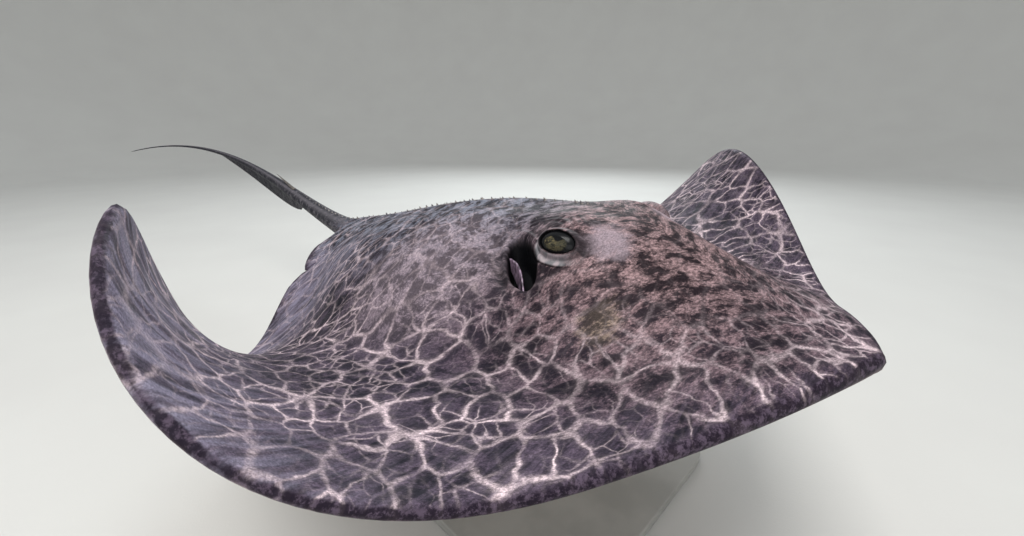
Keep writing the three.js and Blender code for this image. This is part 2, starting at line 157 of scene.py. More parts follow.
def bezier(points: list[tuple[float, float]], steps: int = 400) -> Array:
    """Samples a Bezier curve of two or three handles.

    Args:
        points: Its control points, as station and lateral.
        steps: How many samples to take.

    Returns:
        The samples, one row each.
    """
    share = np.linspace(0.0, 1.0, steps)[:, None]
    rows = [np.asarray(p, float)[None, :] for p in points]
    while len(rows) > 1:
        rows = [lerp(a, b, share) for a, b in zip(rows, rows[1:])]
    return rows[0]


# ---------- the animal's form ----------


@dataclass(frozen=True)
class Wing:
    """How one wing is held: rolled up past its hinge, swept, and waved down at its rear."""

    hinge: float
    curl: float
    curl_gain: float
    sweep: float
    wave: float
    wave_station: float
    wave_length: float
    droop: float
    half_width: float = 0.550
    curl_station: float = 0.462
    curl_span: float = 1.100
    droop_ease: float = 0.110
    wave_start: float = 0.088
    wave_ramp: float = 0.275
    wave_fade_start: float = 0.363
    wave_fade: float = 0.110

    def bend(self, station: Array, reach: Array) -> Array:
        """Bends flat places of the wing.

        Args:
            station: Stations of the flat places.
            reach: Their distances from the midline.

        Returns:
            Lateral, height and forward sweep, one column each.
        """
        span = self.half_width - self.hinge
        past = np.maximum(reach - self.hinge, 0.0)
        roll_full = self.curl + self.curl_gain * (station - self.curl_station) / self.curl_span
        radius = span / np.where(np.abs(roll_full) < 1e-4, 1e-4, roll_full)
        roll = past / radius
        along = bell(station - self.wave_station, self.wave_length)
        outward = bell(np.maximum(reach - self.wave_fade_start, 0.0), self.wave_fade)
        wave = self.wave * along * outward * ease((reach - self.wave_start) / self.wave_ramp)
        droop = self.droop * reach**2 / (reach + self.droop_ease)
        lateral = np.minimum(reach, self.hinge) + radius * np.sin(roll)
        height = radius * (1.0 - np.cos(roll)) + wave + droop
        return np.stack([lateral, height, self.sweep * (past / span) ** 2], axis=-1)


@dataclass(frozen=True)
class Disc:
    """The disc: its outline, its bent middle surface and its thickness."""

    half_width: float = 0.550
    tip_station: float = 0.425
    snout_flare: tuple[float, float] = (0.065, 0.208)
    tip_front_reach: float = 0.144
    tip_rear_reach: float = 0.052
    corner: tuple[float, float] = (0.813, 0.186)
    corner_pull: tuple[float, float] = (0.010, 0.050)
    corner_round: tuple[float, float] = (0.815, 0.164)
    notch: tuple[float, float] = (0.802, 0.157)
    pelvic_reach: tuple[float, float] = (0.815, 0.187)
    pelvic_inner_reach: tuple[float, float] = (0.968, 0.037)
    end: float = 0.880
    tail_root: float = 0.038
    right: Wing = Wing(0.245, 1.860, 2.515, 0.083, -0.123, 0.766, 0.232, -0.060)
    left: Wing = Wing(0.109, 0.735, -5.453, 0.075, -0.121, 0.654, 0.157, -0.203)
    dome_height: float = 0.098
    dome_rise: float = 0.275
    dome_fall: tuple[float, float, float] = (0.363, 0.601, 0.78)
    dome_half_width: float = 0.204
    dome_swell: tuple[float, float, float] = (0.165, 0.330, 0.077)
    dome_narrow: tuple[float, float, float] = (0.550, 0.330, 0.60)
    dome_roundness: float = 1.8
    orbit: tuple[float, float] = (0.268, 0.070)
    orbit_height: float = 0.012
    orbit_radius: float = 0.044
    belly_depth: float = 0.026
    belly_rise: float = 0.240
    belly_fall: tuple[float, float, float] = (0.520, 0.360, 0.55)
    belly_half_width: float = 0.220
    belly_roundness: float = 1.5
    plate_upper: float = 0.010
    plate_lower: float = 0.017
    rim_front: float = 0.007
    rim_tip: float = 0.004
    rim_rear: float = 0.0022
    rim_tip_share: float = 0.47
    rim_rounding: float = 1.7
    nose_rounding: float = 0.016
    edge_fade: float = 6.0
    rib_bias: float = 1.15
    closing: tuple[float, float] = (0.94, 0.06)
    step: float = 0.0005

    def outline(self) -> Array:
        """Half outline of the flat disc, from the snout tip round to the root of the tail."""
        tip = (self.tip_station, self.half_width)
        pulled = (self.corner[0] - self.corner_pull[0], self.corner[1] + self.corner_pull[1])
        curves = [
            [(0.0, 0.0), self.snout_flare, (tip[0] - self.tip_front_reach, tip[1]), tip],
            [tip, (tip[0] + self.tip_rear_reach, tip[1]), pulled, self.corner],
            [self.corner, self.corner_round, self.notch],
            [self.notch, self.pelvic_reach, self.pelvic_inner_reach, (self.end, self.tail_root)],
        ]
        return np.concatenate([bezier(c)[int(i > 0):] for i, c in enumerate(curves)])

    def margin(self, share: Array) -> Array:
        """Places of the margin at shares of its length.

        Args:
            share: Shares of the way from the snout tip to the root of the tail.

        Returns:
            Station and lateral, one column each.
        """
        points = self.outline()
        steps = np.linalg.norm(np.diff(points, axis=0), axis=1)
        length = np.concatenate([[0.0], np.cumsum(steps)])
        at = np.clip(share, 0.0, 1.0) * length[-1]
        return np.stack([np.interp(at, length, points[:, i]) for i in (0, 1)], axis=-1)

    def middle(self, station: Array, lateral: Array) -> Array:
        """Points of the bent middle surface.

        Args:
            station: Stations of the flat places.
            lateral: Their laterals.

        Returns:
            The points, one row each.
        """
        reach = np.abs(lateral)
        on_right = (lateral < 0)[..., None]
        bent = np.where(on_right, self.right.bend(station, reach), self.left.bend(station, reach))
        return np.stack([np.sign(lateral) * bent[..., 0], station - bent[..., 2], bent[..., 1]], axis=-1)

    def normal(self, station: Array, lateral: Array) -> Array:
        """Upward unit normals of the middle surface.

        Args:
            station: Stations of the flat places.
            lateral: Their laterals.

        Returns:
            The normals, one row each.
        """
        step = self.step
        along = self.middle(station + step, lateral) - self.middle(station - step, lateral)
        across = self.middle(station, lateral + step) - self.middle(station, lateral - step)
        return unit(np.cross(across, along))

    def dome(self, station: Array, reach: Array) -> Array:
        """Height of the back's dome, with the raised orbits."""
        fall_start, fall_length, fall_share = self.dome_fall
        swell_start, swell_length, swell = self.dome_swell
        narrow_start, narrow_length, narrow_share = self.dome_narrow
        fall = 1.0 - fall_share * ease((station - fall_start) / fall_length)
        wide = self.dome_half_width + swell * ease((station - swell_start) / swell_length)
        wide = wide * (1.0 - narrow_share * ease((station - narrow_start) / narrow_length))
        section = np.maximum(1.0 - (reach / wide) ** 2, 0.0) ** self.dome_roundness
        from_orbit = np.hypot(station - self.orbit[0], reach - self.orbit[1])
        orbit = self.orbit_height * bell(from_orbit, self.orbit_radius)
        return self.dome_height * ease(station / self.dome_rise) * fall * section + orbit

    def belly(self, station: Array, reach: Array) -> Array:
        """Depth of the belly's bulge."""
        fall_start, fall_length, fall_share = self.belly_fall
        fall = 1.0 - fall_share * ease((station - fall_start) / fall_length)
        section = np.maximum(1.0 - (reach / self.belly_half_width) ** 2, 0.0) ** self.belly_roundness
        return self.belly_depth * ease(station / self.belly_rise) * fall * section

    def rim(self, share: Array) -> Array:
        """Half thickness of the margin, by its share of the way from snout to tail."""
        tip = self.rim_tip_share
        front = lerp(self.rim_front, self.rim_tip, ease(share / tip))
        rear = lerp(self.rim_tip, self.rim_rear, ease((share - tip) / (1.0 - tip)))
        return np.where(share < tip, front, rear)

    def back_point(self, station: Array, lateral: Array) -> tuple[Array, Array]:
        """Points and normals of the upper skin, where no rim is near."""
        normal = self.normal(station, lateral)
        height = self.dome(station, np.abs(lateral)) + self.plate_upper
        return self.middle(station, lateral) + normal * height[..., None], normal


@dataclass(frozen=True)
class Tail:
    """The tail: its route, its section and the fold of skin beneath it."""

    disc: Disc
    length: float = 1.485
    root: float = 0.027
    tip: float = 0.0016
    taper: float = 1.5
    flare_length: float = 0.060
    flatness: float = 0.86
    turn: tuple[float, float, float] = (-0.087, 0.005, 0.672)
    rise: tuple[float, float, float] = (0.026, 1.006, -1.177)
    settle: float = 0.08
    fold_start: float = 0.372
    fold_end: float = 0.945
    fold_height: float = 0.039
    fold_skew: float = 0.62
    fold_fullness: float = 0.75
    fold_edge: float = 30.0
    samples: int = 1486

    def direction(self, length: Array) -> Array:
        """Direction of the tail at lengths along it."""
        share = length / self.length
        settled = ease(share / self.settle)
        turn, rise = (
            settled * (a + b * share + c * share**2) for a, b, c in (self.turn, self.rise)
        )
        flat = np.cos(rise)
        return np.stack([-np.sin(turn) * flat, np.cos(turn) * flat, np.sin(rise)], axis=-1)

    def frames(self, length: Array) -> tuple[Array, Array, Array, Array]:
        """Centre, forward, up and side of the tail.

        Args:
            length: Lengths along the tail from the end of the disc.

        Returns:
            Four arrays of vectors, one row for each length.
        """
        at = np.linspace(0.0, self.length, self.samples)
        middle = (at[1:] + at[:-1]) / 2.0
        steps = self.direction(middle) * (at[1] - at[0])
        route = np.concatenate([np.zeros((1, 3)), np.cumsum(steps, axis=0)])
        root = self.disc.middle(np.array([self.disc.end]), np.array([0.0]))[0]
        centre = np.stack([np.interp(length, at, route[:, i]) for i in range(3)], axis=-1) + root
        forward = self.direction(length)
        up = np.array([0.0, 0.0, 1.0]) - forward * forward[..., 2:3]
        up = unit(up)
        return centre, forward, up, np.cross(up, forward)

    def sizes(self, length: Array) -> tuple[Array, Array, Array]:
        """Half width, height and depth of the tail at lengths along it."""
        end, none = np.array([self.disc.end]), np.array([0.0])
        root_up = self.disc.dome(end, none)[0] + self.disc.plate_upper
        root_down = self.disc.belly(end, none)[0] + self.disc.plate_lower
        along = np.clip(1.0 - length / self.length, 0.0, 1.0)
        stem = lerp(self.tip, self.root, along**self.taper)
        flare = np.exp(-length / self.flare_length)
        flat = stem * self.flatness
        half = stem + (self.disc.tail_root - self.root) * flare
        up = flat + (root_up - self.root * self.flatness) * flare
        down = flat + (root_down - self.root * self.flatness) * flare
        return half, up, down

    def fold(self, length: Array) -> Array:
        """Depth of the fold of skin at lengths along the tail."""
        share = np.clip((length - self.fold_start) / (self.fold_end - self.fold_start), 0.0, 1.0)
        wave = np.maximum(np.sin(np.pi * share**self.fold_skew), 0.0)
        return self.fold_height * wave**self.fold_fullness


@dataclass(frozen=True)
class Pose:
    """How the ray is banked and how high its middle is held over the base."""

    heading: float = 0.7819
    bank: float = 0.0676
    lift: float = 0.285
    held_station: float = 0.500

    def matrix(self) -> Matrix:
        """Matrix from the ray's own level frame to the model's."""
        axis = Vector((math.sin(self.heading), math.cos(self.heading), 0.0))
        turn = Matrix.Rotation(-self.bank, 4, axis)
        held = turn @ Vector((0.0, self.held_station, 0.0))
        return Matrix.Translation(Vector((0.0, 0.0, self.lift)) - held) @ turn

    def place(self, points: Array) -> Array:
        """Points of the ray's own frame, in the model's."""
        matrix = np.array(self.matrix())
        return points @ matrix[:3, :3].T + matrix[:3, 3]


@dataclass(frozen=True)
class EyeSite:
    """Where an eyeball sits in the head, and how its lids close round it."""

    disc: Disc
    station: float = 0.264
    lateral: float = 0.087
    sink: float = 0.006
    high: float = 0.0175
    long: float = 0.025
    deep: float = 0.017
    gaze: Colour = (0.85, -0.15, 0.6)
    opening: tuple[float, float] = (0.0124, 0.0204)
    region: tuple[float, float] = (0.060, 0.070)
    lid: float = 0.0016
    lid_roll: tuple[float, float, float] = (0.0011, 1.16, 0.16)
    swelling: tuple[float, float, float] = (0.0012, 1.4, 0.8)
    blend: float = 0.007
    lower: tuple[float, float] = (0.1, 1.1)
    ring_reach: tuple[float, float] = (1.34, 0.46)
    upper_fold: tuple[float, float, float] = (0.0009, 1.42, 0.08)
    lower_fold: tuple[float, float, float] = (0.0018, 0.22, 0.06)
    fold_limit: float = -1.6
    socket: float = 0.010
    socket_edge: tuple[float, float] = (0.90, 0.12)
    ring_inner: tuple[float, float] = (1.04, 0.10)
    ring_fade: float = 0.30
    ring_above: tuple[float, float] = (0.55, 0.5)
    ring_front: tuple[float, float, float] = (0.45, 1.0, 0.9)
    crease_width: float = 0.055
    crease_rear: tuple[float, float] = (0.7, 0.5)
    # painted shade: black in the crease under the pale ring and at the socket's edge
    crease_shade: float = 0.8
    socket_shade: tuple[float, float] = (1.00, 0.12)

    def frame(self, side: Side) -> tuple[Array, Array]:
        """Centre of the eyeball, and its up, rear and look axes as columns."""
        at = np.array([self.station]), np.array([side.value * self.lateral])
        point, normal = self.disc.back_point(*at)
        look = unit(np.array([side.value * self.gaze[0], self.gaze[1], self.gaze[2]]))
        up = unit(np.array([-side.value * look[2], 0.0, side.value * look[0]]))
        rear = np.cross(look, up) * -side.value
        return point[0] - normal[0] * self.sink, np.stack([up, rear, look], axis=-1)

    def lidded(
        self, up: Array, rear: Array, look: Array, around: Array, below: Array, under_ring: Array
    ) -> Array:
        """How far out the skin near the eye stands.

        Args:
            up: How far each place is above the eye's middle.
            rear: How far it is behind the eye's middle.
            look: How far out it stood before.
            around: Its distance from the middle, as a share of the opening.
            below: How far it is under the eye, from 0 to 1.
            under_ring: Its distance from the fold under the pale ring.

        Returns:
            The places' new distances out.
        """
        roll, roll_at, roll_width = self.lid_roll
        swell, swell_from, swell_ease = self.swelling
        cover = self.lid + roll * bell(around - roll_at, roll_width)
        cover = cover + swell * ease((around - swell_from) / swell_ease)
        span = 1.0 - (up / (self.high + cover)) ** 2 - (rear / (self.long + cover)) ** 2
        shell = (self.deep + cover) * np.sqrt(np.maximum(span, 0.0))
        lidded = np.where(span > 0.0, soft_max(look, shell, self.blend), look)
        fold, fold_at, fold_width = self.upper_fold
        fold = fold * bell(around - fold_at, fold_width)
        fold = fold + self.lower_fold[0] * below * bell(under_ring, self.lower_fold[2])
        lidded = lidded - fold * (span > self.fold_limit)
        inside = 1.0 - ease((around - self.socket_edge[0]) / self.socket_edge[1])
        return lerp(lidded, np.minimum(lidded, shell) - self.socket, inside)

    def shape(self, points: Array, side: Side) -> tuple[Array, Array, Array]:
        """Draws the skin over the eyeball as lids, and into the socket at their opening.

        Args:
            points: Points of the skin in the ray's own frame.
            side: Which eye.

        Returns:
            The moved points, how pale the ring round the eye is, and how much painted shade blackens the
            socket's edge and the crease under the ring.
        """
        centre, axes = self.frame(side)
        up, rear, look = ((points - centre) @ axes).T
        around = np.hypot(up / self.opening[0], rear / self.opening[1])
        near = (np.hypot(up, rear) < self.region[0]) & (np.abs(look) < self.region[1])
        below = ease((self.lower[0] - up / self.high) / self.lower[1])
        outer = self.ring_reach[0] + self.ring_reach[1] * below
        under_ring = around - outer - self.lower_fold[1]
        look = np.where(near, self.lidded(up, rear, look, around, below, under_ring), look)
        moved = centre + np.stack([up, rear, look], axis=-1) @ axes.T
        shade, top = self.ring_above
        floor, front, front_ease = self.ring_front
        inner, inner_ease = self.ring_inner
        pale = near * ease((around - inner) / inner_ease) * (1.0 - ease((around - outer) / self.ring_fade))
        pale = pale * lerp(shade, 1.0, ease(top - up / self.high))
        pale = pale * lerp(floor, 1.0, ease((rear / self.long + front) / front_ease))
        # painted shade: black in the crease under the ring and where the skin goes into the socket
        crease = below * bell(under_ring, self.crease_width)
        crease = crease * ease((rear / self.long + self.crease_rear[0]) / self.crease_rear[1])
        edge = 1.0 - ease((around - self.socket_shade[0]) / self.socket_shade[1])
        black = near * np.maximum(edge, self.crease_shade * crease)
        return moved, pale, black


@dataclass(frozen=True)
class Spiracle:
    """The breathing hole behind an eye."""

    station: float = 0.302
    lateral: float = 0.109
    long: float = 0.041
    wide: float = 0.017
    turn: float = 0.92
    depth: float = 0.032
    wall: tuple[float, float] = (0.55, 0.43)
    lip: tuple[float, float, float] = (0.0022, 1.12, 0.14)
    dip: tuple[float, float, float] = (0.0030, 0.9, 0.7)
    hollow: tuple[float, float, float] = (0.018, 0.036, 0.019)
    hollow_edge: tuple[float, float] = (0.25, 0.80)
    hollow_depth: float = 0.0060
    # painted shade: how dark the hollow behind the flap is, and where the hole turns black
    hollow_shade: float = 0.62
    hole_shade_edge: tuple[float, float] = (0.84, 0.14)

    def axes(self, station: Array, reach: Array) -> tuple[Array, Array]:
        """Distances from the hole's middle along it and across it."""
        out, back = reach - self.lateral, station - self.station
        along = out * math.cos(self.turn) - back * math.sin(self.turn)
        return along, out * math.sin(self.turn) + back * math.cos(self.turn)

    def spread(self, station: Array, reach: Array) -> Array:
        """Distance from the hole's middle, as a share of its radius there."""
        along, across = self.axes(station, reach)
        return np.hypot(along / self.long, across / self.wide)

    def shelter(self, station: Array, reach: Array) -> Array:
        """The shallow hollow behind the flap, from 0 outside to 1 at its middle."""
        along, across = self.axes(station, reach)
        off, long, wide = self.hollow
        spread = np.hypot(along / long, (across - off) / wide)
        return 1.0 - ease((spread - self.hollow_edge[0]) / self.hollow_edge[1])

    def height(self, station: Array, reach: Array) -> Array:
        """Height of the skin over the smooth back, in and round the hole."""
        spread = self.spread(station, reach)
        lip, lip_at, lip_width = self.lip
        dip, dip_at, dip_width = self.dip
        hole = -self.depth * (1.0 - ease((spread - self.wall[0]) / self.wall[1]))
        hollow = -dip * bell(spread - dip_at, dip_width) - self.hollow_depth * self.shelter(station, reach)
        return hole + hollow + lip * bell(spread - lip_at, lip_width)

    def dark(self, station: Array, reach: Array) -> Array:
        """Painted shade in the hole and in the hollow behind its flap, from 0 outside to 1 inside."""
        inside = 1.0 - ease((self.spread(station, reach) - self.hole_shade_edge[0]) / self.hole_shade_edge[1])
        return np.maximum(inside, self.hollow_shade * self.shelter(station, reach))


@dataclass(frozen=True)
class Underside:
    """Mouth, nostrils, gill slits and vent on the belly."""

    mouth: tuple[float, float] = (0.218, 0.041)
    mouth_bow: float = 0.012
    mouth_corner: float = 0.008
    mouth_groove: tuple[float, float] = (0.0070, 0.0036)
    # width of the painted shade along the mouth's groove
    mouth_shade: float = 0.0032
    lip: tuple[float, float, float] = (0.0030, 0.009, 0.005)
    curtain: Span = Span(0.172, 0.012, 0.209, 0.0025)
    curtain_side: tuple[float, float] = (0.044, 0.008)
    curtain_height: float = 0.0032
    nostril: Dent = Dent(1.0, 0.184, 0.050, 0.0052, 1.3)
    nostril_depth: float = 0.0050
    gills: int = 5
    gill_first: tuple[float, float] = (0.292, 0.146)
    gill_last: tuple[float, float] = (0.438, 0.094)
    gill_slants: tuple[float, float] = (0.35, -0.30)
    gill_half: float = 0.014
    gill_end: float = 0.005
    gill_width: float = 0.0022
    gill_bow: float = 14.0
    gill_cut: float = 0.0045
    flap: Span = Span(-0.016, 0.013, 0.0, 0.0015)
    flap_side: tuple[float, float] = (0.022, 0.010)
    flap_height: float = 0.0018
    vent: tuple[float, float, float] = (0.838, 0.012, 0.0035)
    vent_depth: float = 0.0035
    girdle: tuple[float, float, float] = (0.800, 0.20, 0.010)
    girdle_side: tuple[float, float] = (0.095, 0.030)
    girdle_height: float = 0.0018

    def mouth_gap(self, station: Array, reach: Array) -> tuple[Array, Array]:
        """Distance behind the line of the mouth, and how far inside its corners."""
        line = self.mouth[0] - self.mouth_bow * (1.0 - (reach / self.mouth[1]) ** 2)
        return station - line, ease((self.mouth[1] - reach) / self.mouth_corner)

    def gill_offsets(self, station: Array, reach: Array) -> list[tuple[Array, Array]]:
        """Distances along each gill slit and behind it, from the slit's middle."""
        offsets = []
        for i in range(self.gills):
            share = i / (self.gills - 1)
            back = station - lerp(self.gill_first[0], self.gill_last[0], share)
            out = reach - lerp(self.gill_first[1], self.gill_last[1], share)
            slant = lerp(*self.gill_slants, share)
            cos, sin = math.cos(slant), math.sin(slant)
            offsets.append((out * cos + back * sin, back * cos - out * sin))
        return offsets

    def gill_depth(self, station: Array, reach: Array) -> Array:
        """How deep in a gill slit a place is, from 0 outside to 1 at its bottom."""
        depth = np.zeros_like(station)
        for along, behind in self.gill_offsets(station, reach):
            slit = bell(behind - self.gill_bow * along**2, self.gill_width)
            depth = np.maximum(depth, slit * ease((self.gill_half - np.abs(along)) / self.gill_end))
        return depth

    def gill_flap(self, station: Array, reach: Array) -> Array:
        """How far a place is raised as the flap in front of a gill slit."""
        raised = np.zeros_like(station)
        side, side_ease = self.flap_side
        for along, behind in self.gill_offsets(station, reach):
            raised = np.maximum(raised, self.flap.at(behind) * ease((side - np.abs(along)) / side_ease))
        return raised

    def height(self, station: Array, reach: Array) -> Array:
        """Height of the skin under the smooth belly."""
        behind, within = self.mouth_gap(station, reach)
        groove, groove_width = self.mouth_groove
        lip, lip_off, lip_width = self.lip
        mouth = lip * bell(np.abs(behind) - lip_off, lip_width) - groove * bell(behind, groove_width)
        curtain = self.curtain.at(station) * ease((self.curtain_side[0] - reach) / self.curtain_side[1])
        gills = self.flap_height * self.gill_flap(station, reach)
        gills = gills - self.gill_cut * self.gill_depth(station, reach)
        vent = bell(station - self.vent[0], self.vent[1]) * bell(reach, self.vent[2])
        girdle_at, girdle_slant, girdle_width = self.girdle
        girdle = bell(station - girdle_at - girdle_slant * reach, girdle_width)
        girdle = girdle * ease((self.girdle_side[0] - reach) / self.girdle_side[1])
        raised = self.curtain_height * curtain + gills + self.girdle_height * girdle
        sunk = self.vent_depth * vent + self.nostril_depth * self.nostril.at(station, reach)
        return mouth * within + raised - sunk

    def dark(self, station: Array, reach: Array) -> Array:
        """How much painted shade darkens a place of the belly's openings: mouth, gill slits and nostrils."""
        behind, within = self.mouth_gap(station, reach)
        mouth = bell(behind, self.mouth_shade) * within
        return np.maximum(mouth, np.maximum(self.gill_depth(station, reach), self.nostril.at(station, reach)))


@dataclass(frozen=True)
class BackRelief:
    """Folds and muscle of the upper side, over the smooth dome."""

    spine: tuple[float, float] = (0.0022, 0.010)
    spine_furrow: tuple[float, float, float] = (0.0020, 0.030, 0.014)
    spine_along: Span = Span(0.26, 0.10, 0.90, 0.08)
    gill_mound: Dent = Dent(0.0050, 0.405, 0.150, 0.075)
    behind_hole: Dent = Dent(-0.0030, 0.350, 0.100, 0.028, 1.4)
    brow: Dent = Dent(-0.0022, 0.255, 0.022, 0.024)
    shoulder: tuple[float, float] = (0.0026, 0.024)
    shoulder_line: tuple[float, float, float] = (0.235, 0.10, 0.45)
    shoulder_along: Span = Span(0.20, 0.12, 0.80, 0.10)
    long_wobble: tuple[float, float, float] = (0.55, 31.0, 17.0)
    short_wobble: tuple[float, float, float] = (0.4, 57.0, 23.0)
    fibres: float = 150.0
    fibre_height: float = 0.0007
    fibre_out: Span = Span(0.45, 0.2, 0.97, 0.10)
    wrinkle_height: float = 0.00045
    wrinkle_middle: tuple[float, float] = (0.300, 0.113)
    wrinkle_gap: float = 0.0085
    wrinkle_bend: float = 2.0
    wrinkle_start: tuple[float, float] = (0.045, 0.01)
    wrinkle_fade: tuple[float, float] = (0.05, 0.045)
    crease: tuple[float, float] = (0.0040, 0.0050)
    crease_line: tuple[float, float, float] = (0.806, 0.20, 0.165)
    crease_across: Span = Span(0.050, 0.04, 0.200, 0.02)

    def height(self, station: Array, lateral: Array, share: Array, out: Array) -> Array:
        """Height of the skin over the smooth back.

        Args:
            station: Stations of the places.
            lateral: Their laterals.
            share: Share of the margin's length at the rib of each place.
            out: How far out along its rib each place is.

        Returns:
            The heights.
        """
        reach = np.abs(lateral)
        high, wide = self.spine
        furrow, furrow_at, furrow_width = self.spine_furrow
        spine = high * bell(reach, wide) - furrow * bell(reach - furrow_at, furrow_width)
        mounds = sum(dent.at(station, reach) for dent in (self.gill_mound, self.behind_hole, self.brow))
        deep, wide = self.shoulder
        line, swing, middle = self.shoulder_line
        shoulder = -deep * bell(reach - line + swing * np.abs(station - middle), wide)
        shoulder = shoulder * self.shoulder_along.at(station)
        (sway, by_station, by_out), (twist, by_long, by_lateral) = self.long_wobble, self.short_wobble
        wobble = sway * np.sin(by_station * station + by_out * out)
        wobble = wobble + twist * np.sin(by_long * station - by_lateral * lateral)
        fibre = np.sin(2.0 * np.pi * self.fibres * share + wobble)
        fibre = self.fibre_height * fibre * self.fibre_out.at(out)
        form = spine * self.spine_along.at(station) + mounds + shoulder + fibre
        return form + self.wrinkles(station, reach, wobble) + self.pelvic_crease(station, reach)

    def wrinkles(self, station: Array, reach: Array, wobble: Array) -> Array:
        """Fine wrinkles in rings round the eye and the breathing hole."""
        away = np.hypot(station - self.wrinkle_middle[0], reach - self.wrinkle_middle[1])
        wave = np.sin(2.0 * np.pi * away / self.wrinkle_gap + self.wrinkle_bend * wobble)
        start, start_ease = self.wrinkle_start
        fade, fade_width = self.wrinkle_fade
        return self.wrinkle_height * wave * ease((away - start) / start_ease) * bell(away - fade, fade_width)

    def pelvic_crease(self, station: Array, reach: Array) -> Array:
        """Step down from the disc's rear edge on to the pelvic fins."""
        at, slant, reach_at = self.crease_line
        behind = station - at + slant * (reach_at - reach)
        return -self.crease[0] * bell(behind, self.crease[1]) * self.crease_across.at(reach)


# ---------- the skin ----------


@dataclass(frozen=True)
class Window:
    """A part of the disc that gets a finer mesh: a box or round patch in flat coordinates."""

    station: tuple[float, float]
    reach: tuple[float, float]
    upper: bool
    round: bool = False

    def holds(self, station: Array, reach: Array, upper: Array) -> Array:
        """Which of the flat places lie inside."""
        middles = [sum(self.station) / 2.0, sum(self.reach) / 2.0]
        halves = [(self.station[1] - self.station[0]) / 2.0, (self.reach[1] - self.reach[0]) / 2.0]
        offs = [(station - middles[0]) / halves[0], (reach - middles[1]) / halves[1]]
        size = np.hypot(*offs) if self.round else np.maximum(np.abs(offs[0]), np.abs(offs[1]))
        return (size <= 1.0) & (upper == self.upper)


